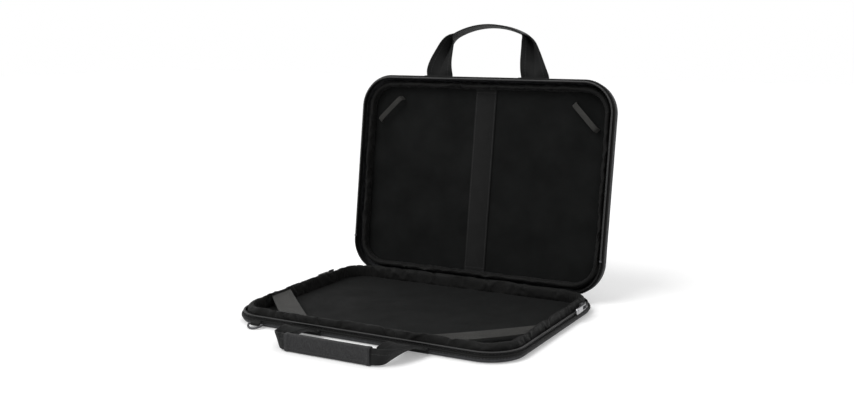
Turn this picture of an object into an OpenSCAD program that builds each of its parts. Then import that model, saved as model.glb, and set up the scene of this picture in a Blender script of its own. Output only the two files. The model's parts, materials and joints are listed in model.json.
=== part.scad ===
// Hinged hard case for a portable computer, stored open.
// The base lies flat on the table and the lid stands up behind it.
// Origin: middle of the base's flat underside. +X right, -Y the handle side, +Y the hinge side, +Z up.
// The lid and what it carries are drawn closed, above the base, and turned open as the last step.

/* [Case] */
// Width of the case along its handle side
case_w = 360; // [320:1:400]
// Depth from the handle side to the hinge side
case_d = 266; // [240:1:300]
// Radius of the four corners seen from above
corner_r = 42; // [36:1:50]
// Angle that the lid stands open, counted from closed
lid_open = 98.3; // [60:0.1:112]

/* [Shells] */
// Thickness of the moulded foam shells
shell_t = 2.4; // [1.8:0.1:3]
// Height of the base shell's rim
base_rim_h = 8.6; // [8:0.1:12]
// Radius of the base's lower edge
base_edge_r = 6; // [4:0.5:6]
// Height of the lid shell from its rim to its outer face
lid_rim_h = 18.6; // [16:0.1:24]
// Radius of the lid's outer edge
lid_edge_r = 8; // [5:0.5:8]
// Height of the zipped gap between the two rims
rim_gap = 10; // [9:0.1:12]
// Thickness of the stiffening boards
board_t = 1.2; // [0.8:0.1:2]
// Thickness of the lining
liner_t = 1.2; // [0.8:0.1:2]

/* [Padded rolls] */
// Width of the padded roll inside each rim
roll_w = 8.7; // [7:0.1:12]
// Distance from the outline to the roll
roll_inset = 5.8; // [5.8:0.1:7]
// Height of the base roll's top above the table
base_roll_top = 20; // [18:0.1:21]
// Gap between the two rolls when the case is closed
roll_gap = 0.6; // [0.4:0.1:2]
// Radius of the roll's edges
roll_edge_r = 3; // [1:0.5:3.4]

/* [Zip] */
// Thickness of the zip tape and of the gusset
tape_t = 0.8; // [0.6:0.1:1]
// Distance from the shell's rim to the zip coil
tape_rise = 1.6; // [1.4:0.1:2]
// Width of a zip coil
coil_w = 2.6; // [2.2:0.1:2.8]
// Height of a zip coil
coil_h = 2.3; // [2:0.1:2.5]
// Place of the sliders when they are parked near the hinge
slider_park_y = 80; // [40:1:84]
// Length of a slider along the zip
slider_l = 11; // [8:0.5:14]
// Thickness of a slider's two plates
slider_plate_t = 1; // [0.8:0.1:1]
// Length of a zip pull
pull_l = 29; // [20:1:34]
// Width of a zip pull
pull_w = 7; // [6.4:0.1:8]
// Thickness of a zip pull
pull_t = 1.4; // [1:0.1:1.4]

/* [Handles] */
// Distance from the middle to the middle of each handle leg
leg_x = 68; // [58:1:80]
// Width of the webbing where it is sewn on
webbing_w = 38; // [30:1:40]
// Thickness of the webbing
webbing_t = 2; // [1.6:0.1:2.4]
// Length of a leg before the grip bends away
leg_l = 45; // [38:1:50]
// How far the lid handle's arch rises past its legs
arch_rise = 24; // [18:1:32]
// Half of the arch's width
arch_half_w = 60; // [50:1:66]
// Radius of the bends at the ends of the base handle's grip
grip_bend_r = 10; // [8:1:14]
// Thickness of a folded grip, across the hand
grip_t = 7; // [5:0.1:8]
// Depth of a folded grip, along the case's thickness
grip_depth = 19.4; // [16:0.1:19.6]
// Wall of the sleeve round the base handle's grip
sleeve_t = 0.7; // [0.5:0.1:1]
// Length of the sleeve
sleeve_l = 106; // [90:1:108]

/* [Straps] */
// Thickness of the elastic straps
elastic_t = 1.2; // [0.8:0.1:1.6]
// Height of the base's corner straps above the table
corner_strap_z = 15.6; // [12:0.1:15.8]
// Where a corner strap meets the side roll, from the case's middle
corner_strap_side_y = [-64, -28];
// Where a corner strap meets the front roll, from the case's middle
corner_strap_front_x = [76, 114];
// Width of the lid's centre strap
center_strap_w = 30; // [20:1:40]
// Width of the lid's corner loops
loop_w = 7; // [5:0.5:10]
// Length of a corner loop
loop_l = 46; // [36:1:50]
// Clear height under a corner loop
loop_clear_h = 8; // [6:0.1:9]
// Place of a corner loop's middle, in from the side and the front
loop_inset = [40, 45];

/* [Outer face] */
// Distance of the piping from the outline
piping_inset = 9.6; // [9.2:0.1:12]
// Radius of the piping
piping_r = 1; // [0.8:0.1:1.2]
// Thickness of the pocket fabric
pocket_t = 1.2; // [0.8:0.1:1.6]
// Distance of the middle pocket's mouth from the top edge, at its two ends
middle_mouth = [84, 49];
// Distance of the lower pocket's mouth from the top edge, at its two ends
lower_mouth = [148, 106];
// How far the lower pocket stands open at its mouth
pocket_bulge = 8; // [6:0.5:10]
// Length over which the lower pocket closes again
pocket_bulge_l = 120; // [90:1:130]
// Radius of the round stud on the outer face
stud_r = 5; // [3:0.1:7]
// Height of the stud
stud_h = 1.5; // [0.8:0.1:2.5]
// Place of the stud, in from the side and the top edge
stud_inset = [30, 33];

/* [Strap rings] */
// Distance of a strap ring's middle from the case's side
ring_inset = 44; // [30:1:60]
// Radius of the ring's wire
ring_wire_r = 1.25; // [1:0.05:1.4]
// Radius of the ring's round side, to the middle of the wire
ring_r = 9; // [8:0.5:11]
// Width of the fabric tab that holds a ring
ring_tab_w = 13; // [10:0.5:14]
// Thickness of the tab
tab_t = 1; // [0.8:0.1:1.2]

/* [Clearances] */
// Clearance between the slider and the zip
zip_clear = 0.3; // [0.2:0.05:0.4]
// Clearance round the ring's wire in its tab
ring_clear = 0.35; // [0.2:0.05:0.5]
// Clearance between the sleeve and the grip
sleeve_clear = 0.35; // [0.2:0.05:0.5]
// Gap left under a sewn patch
sew_gap = 0.05; // [0.02:0.01:0.1]
// Half of the fabric left free at the fold of the gusset
fold_free = 0.8; // [0.7:0.05:0.9]

/* [Hidden] */
$fn = 48;

far = 1000;
overlap = 2;
half_w = case_w / 2;
half_d = case_d / 2;
straight_w = case_w - 2 * corner_r;
straight_d = case_d - 2 * corner_r;

// Heights of the closed case, from the table up
lid_rim_z = base_rim_h + rim_gap;
case_h = lid_rim_z + lid_rim_h;
fold_z = base_rim_h + rim_gap / 2;
base_board_z = shell_t;
base_liner_z = base_board_z + board_t;
base_liner_top = base_liner_z + liner_t;
lid_board_z = case_h - shell_t - board_t;
lid_liner_z = lid_board_z - liner_t;
lid_roll_bottom = base_roll_top + roll_gap;
board_clear = 0.3;
liner_clear = 0.4;

// Zip, as outward distance from the outline
tape_u = -shell_t - tape_t;
tape_mid_u = tape_u + tape_t / 2;
coil_u = tape_mid_u - coil_w / 2;
base_coil_z = base_rim_h + tape_rise;
lid_coil_z = lid_rim_z - tape_rise - coil_h;
lid_tape_h = 6;
base_tape_z = base_edge_r;
stop_l = 2.5;
stop_wide = 0.2;
coil_end_y = half_d - corner_r - stop_l - overlap;
fold_y = half_d + tape_mid_u;

// Slider, as outward distance from the outline
outer_plate_u = coil_u + coil_w + zip_clear;
inner_plate_u = coil_u - zip_clear - slider_plate_t;
rim_clear = 0.4;
lid_tape_clear = 1.4;
slider_bottom_z = base_rim_h + rim_clear;
outer_plate_top_z = lid_rim_z - rim_clear;
inner_plate_top_z = outer_plate_top_z - lid_tape_clear;
slider_post_clear = 0.5;
post_l = 3;
crown_h = 1.9;
crown_bar_t = 0.9;
crown_l = 6.6;
crown_hole_l = 3.8;
crown_w = 3.2;
pull_pin_r = 0.7;
pull_pin_u = outer_plate_u + slider_plate_t + crown_h / 2;
pull_arm_z = crown_w / 2 + zip_clear + pull_pin_r;
pull_arm_l = 9;
pull_corner_r = 2.2;
pull_hole_r = 1.6;

// Handles, from the hinge of the webbing
handle_pin_u = 2.5;
base_handle_z = 7.3;
lid_handle_rise = 8.4;
lid_handle_z = lid_rim_z + lid_handle_rise;
base_grip_z = grip_depth / 2 + sleeve_t / 2;
lid_grip_clear = 0.3;
lid_grip_z = lid_roll_bottom + lid_grip_clear + grip_depth / 2;
patch_t = 1;
patch_low = 45;
strap_sides = 14;
leg_steps = 7;
bend_steps = 10;
squareness = 0.55;
root_reach = [0.7, 0.5];
root_depth = [0.1, 0.45];
fold_wide = 2.1;
fold_deep = 0.8;
fold_quick = 2.5;
sleeve_end_gap = 1;
base_end_x = sleeve_l / 2 + grip_bend_r + sleeve_end_gap;
inner_grip_t = grip_t - sleeve_t - 2 * sleeve_clear;
inner_grip_depth = grip_depth - sleeve_t - 2 * sleeve_clear;
sleeve_edge_r = 2;

// Strap rings
tab_bore_r = ring_wire_r + ring_clear;
loop_wall = 0.75;
tab_loop_r = tab_bore_r + tab_t * loop_wall;
ring_x = half_w - ring_inset;
lid_tab_turn = 70;
lid_tab_sink = 0.5;
lid_tab_out = lid_edge_r + tab_t + tab_loop_r - lid_tab_sink;
lid_tab_u = -lid_edge_r + lid_tab_out * cos(lid_tab_turn);
lid_tab_z = case_h - lid_edge_r + lid_tab_out * sin(lid_tab_turn);
base_tab_u = sew_gap + tab_t / 2 + tab_loop_r;
base_tab_z = 4.2;
base_ring_tilt = asin((base_tab_z - ring_wire_r - sew_gap) / ring_r);
ring_upright = 90;
lid_ring_lift = lid_open - ring_upright;

// Pockets
piping_clear = 0.5;
pocket_inset = piping_inset + piping_r + piping_clear;
middle_pocket_z = case_h;
lower_pocket_z = case_h + pocket_t;
pocket_seam = 8;
belly_half_w = half_w - pocket_inset - pocket_seam;
belly_r = (pow(belly_half_w, 2) + pow(pocket_bulge, 2)) / (2 * pocket_bulge);
belly_fn = 720;
pocket_tilt = atan(pocket_bulge / pocket_bulge_l);
pocket_mouth_y = -half_d + (lower_mouth[0] + lower_mouth[1]) / 2;

// ---------------------------------------------------------------- shared shapes

// The case's outline, moved in by a distance
module plan(inset) {
    square([straight_w, case_d - 2 * inset], center = true);
    square([case_w - 2 * inset, straight_d], center = true);
    for (x = [-1, 1])
        for (y = [-1, 1])
            translate([x * straight_w / 2, y * straight_d / 2])
                circle(r = corner_r - inset);
}

// A straight run of a profile along the right side, between two places
module side_run(from_y, to_y) {
    translate([half_w, to_y, 0])
        rotate([90, 0, 0])
            linear_extrude(to_y - from_y)
                children();
}

// A straight run of a profile along the hinge side
module back_run() {
    translate([-straight_w / 2, half_d, 0])
        rotate([90, 0, 90])
            linear_extrude(straight_w)
                children();
}

// A quarter turn of a profile round the corner between the right and hinge sides
module back_corner() {
    translate([straight_w / 2, straight_d / 2, 0])
        rotate_extrude(angle = 90)
            translate([corner_r, 0])
                children();
}

// A profile swept all the way round, drawn as outward distance and height
module ring_sweep() {
    for (turn = [0, 1])
        mirror([0, turn, 0])
            back_run()
                children();
    for (turn = [0, 1])
        mirror([turn, 0, 0])
            side_run(-straight_d / 2, straight_d / 2)
                children();
    for (x = [0, 1])
        for (y = [0, 1])
            mirror([x, 0, 0])
                mirror([0, y, 0])
                    back_corner()
                        children();
}

// A profile swept along the handle side and both sides, up to the zip's end
module zip_sweep(end_y) {
    mirror([0, 1, 0])
        back_run()
            children();
    for (x = [0, 1])
        mirror([x, 0, 0]) {
            side_run(-straight_d / 2, end_y)
                children();
            mirror([0, 1, 0])
                back_corner()
                    children();
        }
}

// A profile swept round the hinge side, from one zip end to the other
module spine_sweep(start_y) {
    back_run()
        children();
    for (x = [0, 1])
        mirror([x, 0, 0]) {
            side_run(start_y, straight_d / 2)
                children();
            back_corner()
                children();
        }
}

// Turns what is drawn for a tray on the table into the same tray upside down
module upside_down() {
    translate([0, 0, case_h])
        mirror([0, 0, 1])
            children();
}

// Moves the closed lid to where it stands open
module opened() {
    translate([0, fold_y, fold_z])
        rotate([-lid_open, 0, 0])
            translate([0, -fold_y, -fold_z])
                children();
}

// Places a profile drawn as outward distance and height along the handle side
module on_front(x, w) {
    translate([x - w / 2, -half_d, 0])
        rotate([90, 0, 90])
            linear_extrude(w)
                mirror([1, 0])
                    children();
}

// A part of a ring between two angles, all within a half turn
module sector(inner_r, outer_r, from_a, to_a) {
    reach = outer_r * 2;
    intersection() {
        difference() {
            circle(r = outer_r);
            circle(r = inner_r);
        }
        polygon([
            [0, 0],
            reach * [cos(from_a), sin(from_a)],
            reach * [cos((from_a + to_a) / 2), sin((from_a + to_a) / 2)],
            reach * [cos(to_a), sin(to_a)]
        ]);
    }
}

// ---------------------------------------------------------------- shells and linings

// Wall, rounded edge and a strip of floor of a tray
module tray_profile(rim_h, edge_r) {
    translate([-shell_t, edge_r])
        square([shell_t, rim_h - edge_r]);
    translate([-edge_r, edge_r])
        sector(edge_r - shell_t, edge_r, -90, 0);
    translate([-edge_r - overlap, 0])
        square([overlap, shell_t]);
}

module tray(rim_h, edge_r) {
    ring_sweep()
        tray_profile(rim_h, edge_r);
    linear_extrude(shell_t)
        plan(edge_r + overlap / 2);
}

// Cross-section of a padded roll, standing on its foot, with a rounded top
module roll_profile(h) {
    square([roll_w, h - roll_edge_r]);
    translate([roll_edge_r, 0])
        square([roll_w - 2 * roll_edge_r, h]);
    for (x = [roll_edge_r, roll_w - roll_edge_r])
        translate([x, h - roll_edge_r])
            circle(r = roll_edge_r);
}

module base_shell() {
    color([0.21, 0.21, 0.22])
        tray(base_rim_h, base_edge_r);
}

module base_board() {
    color([0.1, 0.1, 0.1])
        translate([0, 0, base_board_z])
            linear_extrude(board_t)
                plan(base_edge_r + board_clear);
}

module base_liner() {
    color([0.08, 0.08, 0.08])
        translate([0, 0, base_liner_z])
            linear_extrude(liner_t)
                plan(-tape_u + liner_clear);
}

module base_roll() {
    color([0.09, 0.09, 0.09])
        ring_sweep()
            translate([-roll_inset - roll_w, base_liner_top])
                roll_profile(base_roll_top - base_liner_top);
}

module lid_shell() {
    color([0.22, 0.22, 0.23])
        opened()
            upside_down()
                tray(lid_rim_h, lid_edge_r);
}

module lid_board() {
    color([0.1, 0.1, 0.1])
        opened()
            translate([0, 0, lid_board_z])
                linear_extrude(board_t)
                    plan(lid_edge_r + board_clear);
}

module lid_liner() {
    color([0.08, 0.08, 0.08])
        opened()
            translate([0, 0, lid_liner_z])
                linear_extrude(liner_t)
                    plan(lid_edge_r - shell_t);
}

module lid_roll() {
    color([0.09, 0.09, 0.09])
        opened()
            translate([0, 0, lid_liner_z])
                mirror([0, 0, 1])
                    ring_sweep()
                        translate([-roll_inset - roll_w, 0])
                            roll_profile(lid_liner_z - lid_roll_bottom);
}

// ---------------------------------------------------------------- zip and gusset

module base_zip_tape() {
    color([0.11, 0.11, 0.11])
        ring_sweep()
            translate([tape_u, base_tape_z])
                square([tape_t, base_coil_z - base_tape_z]);
}

module lid_zip_tape() {
    color([0.11, 0.11, 0.11])
        opened()
            ring_sweep()
                translate([tape_u, lid_coil_z + coil_h])
                    square([tape_t, lid_tape_h]);
}

module coil(z) {
    zip_sweep(coil_end_y)
        translate([coil_u, z])
            square([coil_w, coil_h]);
}

module base_zip_coil() {
    color([0.06, 0.06, 0.06])
        coil(base_coil_z);
}

module lid_zip_coil() {
    color([0.06, 0.06, 0.06])
        opened()
            coil(lid_coil_z);
}

// The two stops where a coil ends
module stops(z) {
    for (x = [0, 1])
        mirror([x, 0, 0])
            side_run(coil_end_y, coil_end_y + stop_l)
                translate([coil_u - stop_wide, z])
                    square([coil_w + 2 * stop_wide, coil_h]);
}

module base_zip_stops() {
    color([0.3, 0.3, 0.3])
        stops(base_coil_z);
}

module lid_zip_stops() {
    color([0.3, 0.3, 0.3])
        opened()
            stops(lid_coil_z);
}

// Fabric round the hinge side, free at the fold
module base_gusset() {
    color([0.1, 0.1, 0.1])
        spine_sweep(coil_end_y + stop_l)
            translate([tape_u, base_coil_z])
                square([tape_t, fold_z - fold_free - base_coil_z]);
}

module lid_gusset() {
    color([0.1, 0.1, 0.1])
        opened()
            spine_sweep(coil_end_y + stop_l)
                translate([tape_u, fold_z + fold_free])
                    square([tape_t, lid_coil_z + coil_h - fold_z - fold_free]);
}

// ---------------------------------------------------------------- sliders and pulls

// A slider on the right side, parked near the hinge
module slider() {
    flange_h = base_coil_z - zip_clear - slider_bottom_z;
    flange_w = (coil_w - tape_t) / 2;
    post_low_z = base_coil_z + coil_h + slider_post_clear;
    post_high_z = lid_coil_z - slider_post_clear;
    translate([half_w, slider_park_y, 0]) {
        difference() {
            union() {
                translate([outer_plate_u, -slider_l / 2, slider_bottom_z])
                    cube([slider_plate_t, slider_l, outer_plate_top_z - slider_bottom_z]);
                translate([outer_plate_u, -crown_l / 2, fold_z - crown_w / 2])
                    cube([slider_plate_t + crown_h + crown_bar_t, crown_l, crown_w]);
            }
            translate([outer_plate_u + slider_plate_t, -crown_hole_l / 2, fold_z - crown_w])
                cube([crown_h, crown_hole_l, 2 * crown_w]);
        }
        translate([inner_plate_u, -slider_l / 2, slider_bottom_z])
            cube([slider_plate_t, slider_l, inner_plate_top_z - slider_bottom_z]);
        translate([inner_plate_u, -slider_l / 2, post_low_z])
            cube([outer_plate_u + slider_plate_t - inner_plate_u, post_l, post_high_z - post_low_z]);
        for (u = [outer_plate_u - flange_w, inner_plate_u])
            translate([u, -slider_l / 2, slider_bottom_z])
                cube([flange_w + slider_plate_t, slider_l, flange_h]);
    }
}

// A pull on the right side, lying along the zip towards the handle side
module pull() {
    body_l = pull_l - pull_arm_l;
    translate([half_w + pull_pin_u, slider_park_y, fold_z]) {
        cylinder(r = pull_pin_r, h = 2 * pull_arm_z, center = true);
        for (z = [-1, 1])
            translate([0, 0, z * pull_arm_z]) {
                sphere(r = pull_pin_r);
                rotate([90, 0, 0])
                    cylinder(r = pull_pin_r, h = pull_arm_l + overlap / 2);
            }
        translate([-pull_t / 2, -pull_arm_l, 0])
            rotate([90, 0, 90])
                linear_extrude(pull_t)
                    difference() {
                        union() {
                            translate([-body_l + pull_corner_r, -pull_w / 2])
                                square([body_l - pull_corner_r, pull_w]);
                            translate([-body_l, -pull_w / 2 + pull_corner_r])
                                square([body_l, pull_w - 2 * pull_corner_r]);
                            for (y = [-1, 1])
                                translate([-body_l + pull_corner_r, y * (pull_w / 2 - pull_corner_r)])
                                    circle(r = pull_corner_r);
                        }
                        translate([-body_l + pull_corner_r * 2, 0])
                            circle(r = pull_hole_r);
                    }
    }
}

module slider_right() {
    color([0.35, 0.35, 0.35])
        slider();
}

module slider_left() {
    color([0.35, 0.35, 0.35])
        mirror([1, 0, 0])
            slider();
}

module pull_right() {
    color([0.7, 0.7, 0.7])
        pull();
}

module pull_left() {
    color([0.7, 0.7, 0.7])
        mirror([1, 0, 0])
            pull();
}

// ---------------------------------------------------------------- straps inside

// An elastic strap across a front corner, flat between the two inner faces of the roll
module corner_strap() {
    inner_u = roll_inset + roll_w;
    color([0.24, 0.235, 0.225])
        translate([0, 0, corner_strap_z])
            linear_extrude(elastic_t)
                polygon([
                    [half_w - inner_u, corner_strap_side_y[1]],
                    [half_w - inner_u, corner_strap_side_y[0]],
                    [corner_strap_front_x[1], -half_d + inner_u],
                    [corner_strap_front_x[0], -half_d + inner_u]
                ]);
}

module base_corner_strap_right() {
    corner_strap();
}

module base_corner_strap_left() {
    mirror([1, 0, 0])
        corner_strap();
}

module lid_center_strap() {
    length = case_d - 2 * (roll_inset + roll_w);
    color([0.16, 0.16, 0.15])
        opened()
            translate([0, 0, lid_liner_z - elastic_t / 2])
                cube([center_strap_w, length, elastic_t], center = true);
}

// An elastic bridge across a front corner of the lid, standing off the lining
module corner_loop() {
    stand_h = loop_clear_h + elastic_t;
    color([0.24, 0.235, 0.225])
        opened()
            translate([half_w - loop_inset[0], -half_d + loop_inset[1], lid_liner_z - stand_h])
                rotate([0, 0, 45])
                    difference() {
                        translate([-loop_l / 2, -loop_w / 2, 0])
                            cube([loop_l, loop_w, stand_h]);
                        translate([-loop_l / 2 + elastic_t, -loop_w, elastic_t])
                            cube([loop_l - 2 * elastic_t, 2 * loop_w, stand_h]);
                    }
}

module lid_corner_loop_right() {
    corner_loop();
}

module lid_corner_loop_left() {
    mirror([1, 0, 0])
        corner_loop();
}

// ---------------------------------------------------------------- outer face of the lid

module lid_piping() {
    color([0.13, 0.13, 0.13])
        opened()
            ring_sweep()
                translate([-piping_inset, case_h])
                    intersection() {
                        circle(r = piping_r);
                        translate([-piping_r, 0])
                            square(2 * piping_r);
                    }
}

// The plan of a pocket: all of the face below a slanted mouth
module pocket_plan(mouth) {
    intersection() {
        plan(pocket_inset);
        polygon([
            [half_w, -half_d + mouth[0]],
            [half_w, half_d],
            [-half_w, half_d],
            [-half_w, -half_d + mouth[1]]
        ]);
    }
}

module middle_pocket() {
    color([0.24, 0.24, 0.25])
        opened()
            translate([0, 0, middle_pocket_z])
                linear_extrude(pocket_t)
                    pocket_plan(middle_mouth);
}

// The round belly of the lower pocket, a wide cylinder tilted into the face
module belly(radius) {
    translate([0, pocket_mouth_y, lower_pocket_z + pocket_bulge])
        rotate([-pocket_tilt, 0, 0])
            translate([0, 0, -belly_r])
                rotate([90, 0, 0])
                    cylinder(r = radius, h = far, center = true, $fn = belly_fn);
}

module lower_pocket() {
    color([0.24, 0.24, 0.25])
        opened()
            difference() {
                intersection() {
                    translate([0, 0, lower_pocket_z])
                        linear_extrude(pocket_bulge * 3)
                            pocket_plan(lower_mouth);
                    union() {
                        belly(belly_r + pocket_t);
                        translate([-half_w, -half_d, lower_pocket_z - overlap])
                            cube([case_w, case_d, pocket_t + overlap]);
                    }
                }
                belly(belly_r);
            }
}

module face_stud() {
    color([0.35, 0.36, 0.37])
        opened()
            translate([half_w - stud_inset[0], -half_d + stud_inset[1], case_h])
                cylinder(r = stud_r, h = stud_h);
}

// ---------------------------------------------------------------- handles

function mix(a, b, t) = a + (b - a) * t;
function smooth(t) = t * t * (3 - 2 * t);

// Stations of a leg, from its round sewn end out. Each station is the place across, the distance
// out, half the width, half the depth and the height of the section's middle.
function leg_stations(end_x, half_t, half_depth, lift) = concat(
    [for (i = [0, 1])
        [leg_x, -webbing_t * root_reach[i], webbing_w / 2, webbing_t * root_depth[i], 0]
    ],
    [for (i = [0 : leg_steps])
        let (t = i / leg_steps)
            [
                mix(leg_x, end_x, smooth(t)),
                t * leg_l,
                mix(webbing_w / 2, half_t * fold_wide, smooth(t)),
                mix(webbing_t / 2, half_depth * fold_deep, smooth(t)),
                mix(0, lift, smooth(t))
            ]
    ]
);

// Stations of the quarter turn from a leg into the grip
function bend_stations(end_x, bend_w, rise, half_t, half_depth, lift) = [
    for (i = [1 : bend_steps])
        let (a = 90 * i / bend_steps, t = smooth(min(1, fold_quick * i / bend_steps)))
            [
                end_x - (1 - cos(a)) * bend_w,
                leg_l + rise * sin(a),
                mix(half_t * fold_wide, half_t, t),
                mix(half_depth * fold_deep, half_depth, t),
                lift
            ]
];

function mirrored(stations) = [
    for (i = [len(stations) - 1 : -1 : 0])
        let (s = stations[i])
            [-s[0], s[1], s[2], s[3], s[4]]
];

// A whole handle's stations. Where the bends meet in the middle, they share one station.
function handle_stations(end_x, bend_w, rise, half_t, half_depth, lift) =
    let (
        leg = leg_stations(end_x, half_t, half_depth, lift),
        bend = bend_stations(end_x, bend_w, rise, half_t, half_depth, lift),
        half = concat(leg, bend),
        other = mirrored(half),
        shared = bend_w == end_x ? 1 : 0
    )
        concat(half, [for (i = [shared : len(other) - 1]) other[i]]);

// A loop of points round a station, square to the strap's run
function section(station, run) = [
    for (i = [0 : strap_sides - 1])
        let (
            a = 360 * (i + 0.5) / strap_sides,
            wide = sign(cos(a)) * pow(abs(cos(a)), squareness) * station[2],
            deep = sign(sin(a)) * pow(abs(sin(a)), squareness) * station[3],
            len = norm(run)
        )
            [
                station[0] + wide * run[1] / len,
                -station[1] + wide * run[0] / len,
                station[4] + deep
            ]
];

// A strap lofted through stations
module strap(stations) {
    count = len(stations);
    runs = [for (i = [0 : count - 1])
        let (a = stations[max(i - 1, 0)], b = stations[min(i + 1, count - 1)])
            [b[0] - a[0], b[1] - a[1]]
    ];
    points = [for (i = [0 : count - 1]) each section(stations[i], runs[i])];
    sides = [
        for (i = [0 : count - 2])
            for (j = [0 : strap_sides - 1])
                let (
                    k = (j + 1) % strap_sides,
                    a = i * strap_sides + j,
                    b = i * strap_sides + k,
                    c = a + strap_sides,
                    d = b + strap_sides
                )
                    each [[a, c, b], [b, c, d]]
    ];
    first = [for (j = [1 : strap_sides - 2]) [0, j, j + 1]];
    end = (count - 1) * strap_sides;
    last = [for (j = [1 : strap_sides - 2]) [end, end + j + 1, end + j]];
    polyhedron(points, concat(sides, first, last));
}

module base_handle_webbing() {
    stations = handle_stations(
        base_end_x, grip_bend_r, grip_bend_r, inner_grip_t / 2, inner_grip_depth / 2,
        base_grip_z - base_handle_z
    );
    color([0.15, 0.15, 0.15])
        translate([0, -half_d - handle_pin_u, base_handle_z])
            strap(stations);
}

module lid_handle_webbing() {
    stations = handle_stations(
        arch_half_w, arch_half_w, arch_rise, grip_t / 2, grip_depth / 2,
        lid_grip_z - lid_handle_z
    );
    color([0.15, 0.15, 0.15])
        opened()
            translate([0, -half_d - handle_pin_u, lid_handle_z])
                strap(stations);
}

// A box with rounded long edges, along the width
module rounded_bar(length, across, deep, edge_r) {
    rotate([90, 0, 90])
        linear_extrude(length, center = true) {
            square([across, deep - 2 * edge_r], center = true);
            square([across - 2 * edge_r, deep], center = true);
            for (x = [-1, 1])
                for (y = [-1, 1])
                    translate([x * (across / 2 - edge_r), y * (deep / 2 - edge_r)])
                        circle(r = edge_r);
        }
}

module base_handle_sleeve() {
    color([0.27, 0.27, 0.27])
        translate([0, -half_d - handle_pin_u - leg_l - grip_bend_r, base_grip_z])
            difference() {
                rounded_bar(sleeve_l, grip_t + sleeve_t, grip_depth + sleeve_t, sleeve_edge_r);
                rounded_bar(
                    sleeve_l + overlap, grip_t - sleeve_t, grip_depth - sleeve_t, sleeve_edge_r - sleeve_t
                );
            }
}

// Patches of webbing sewn to the wall where the legs of a handle start
module handle_patches(edge_r, wall_top) {
    for (x = [-leg_x, leg_x])
        on_front(x, webbing_w)
            translate([-edge_r, edge_r]) {
                sector(edge_r + sew_gap, edge_r + sew_gap + patch_t, -patch_low, 0);
                translate([edge_r + sew_gap, 0])
                    square([patch_t, wall_top - edge_r]);
            }
}

module base_handle_patches() {
    color([0.14, 0.14, 0.14])
        handle_patches(base_edge_r, base_rim_h);
}

module lid_handle_patches() {
    color([0.14, 0.14, 0.14])
        opened()
            upside_down()
                handle_patches(lid_edge_r, lid_rim_h);
}

// ---------------------------------------------------------------- strap rings

// A wire ring with one straight side along the width and a round side towards +Y
module strap_ring() {
    rotate([0, 90, 0])
        cylinder(r = ring_wire_r, h = 2 * ring_r, center = true);
    for (x = [-ring_r, ring_r])
        translate([x, 0, 0])
            sphere(r = ring_wire_r);
    rotate_extrude(angle = 180)
        translate([ring_r, 0])
            circle(r = ring_wire_r);
}

module base_ring_tab() {
    tail_low = base_tab_z - tab_t;
    color([0.14, 0.14, 0.14])
        on_front(-ring_x, ring_tab_w)
            difference() {
                union() {
                    translate([base_tab_u, base_tab_z])
                        circle(r = tab_loop_r);
                    translate([sew_gap, tail_low])
                        square([tab_t, base_rim_h - tail_low]);
                }
                translate([base_tab_u, base_tab_z])
                    circle(r = tab_bore_r);
            }
}

module lid_ring_tab() {
    color([0.14, 0.14, 0.14])
        opened()
            on_front(ring_x, ring_tab_w)
                difference() {
                    union() {
                        translate([lid_tab_u, lid_tab_z])
                            circle(r = tab_loop_r);
                        translate([-lid_edge_r, case_h - lid_edge_r])
                            sector(lid_edge_r + sew_gap, lid_edge_r + sew_gap + tab_t, 0, lid_tab_turn);
                        translate([sew_gap, lid_handle_z - tab_t])
                            square([tab_t, case_h - lid_edge_r - lid_handle_z + tab_t]);
                    }
                    translate([lid_tab_u, lid_tab_z])
                        circle(r = tab_bore_r);
                }
}

module base_strap_ring() {
    color([0.4, 0.4, 0.41])
        translate([-ring_x, -half_d - base_tab_u, base_tab_z])
            rotate([180 + base_ring_tilt, 0, 0])
                strap_ring();
}

module lid_strap_ring() {
    color([0.4, 0.4, 0.41])
        opened()
            translate([ring_x, -half_d - lid_tab_u, lid_tab_z])
                rotate([lid_ring_lift, 0, 0])
                    strap_ring();
}

base_shell();
base_board();
base_liner();
base_roll();
base_zip_tape();
base_zip_coil();
base_zip_stops();
base_gusset();
base_corner_strap_left();
base_corner_strap_right();
base_handle_patches();
base_ring_tab();
base_strap_ring();
base_handle_webbing();
base_handle_sleeve();
lid_shell();
lid_board();
lid_liner();
lid_roll();
lid_zip_tape();
lid_zip_coil();
lid_zip_stops();
lid_gusset();
lid_center_strap();
lid_corner_loop_left();
lid_corner_loop_right();
lid_piping();
middle_pocket();
lower_pocket();
face_stud();
lid_handle_patches();
lid_ring_tab();
lid_strap_ring();
lid_handle_webbing();
slider_left();
slider_right();
pull_left();
pull_right();
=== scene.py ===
"""Looks of a hinged carrying case that stands open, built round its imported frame."""

import json
import math

import bmesh
import bpy
from mathutils import Matrix, Vector, noise

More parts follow.
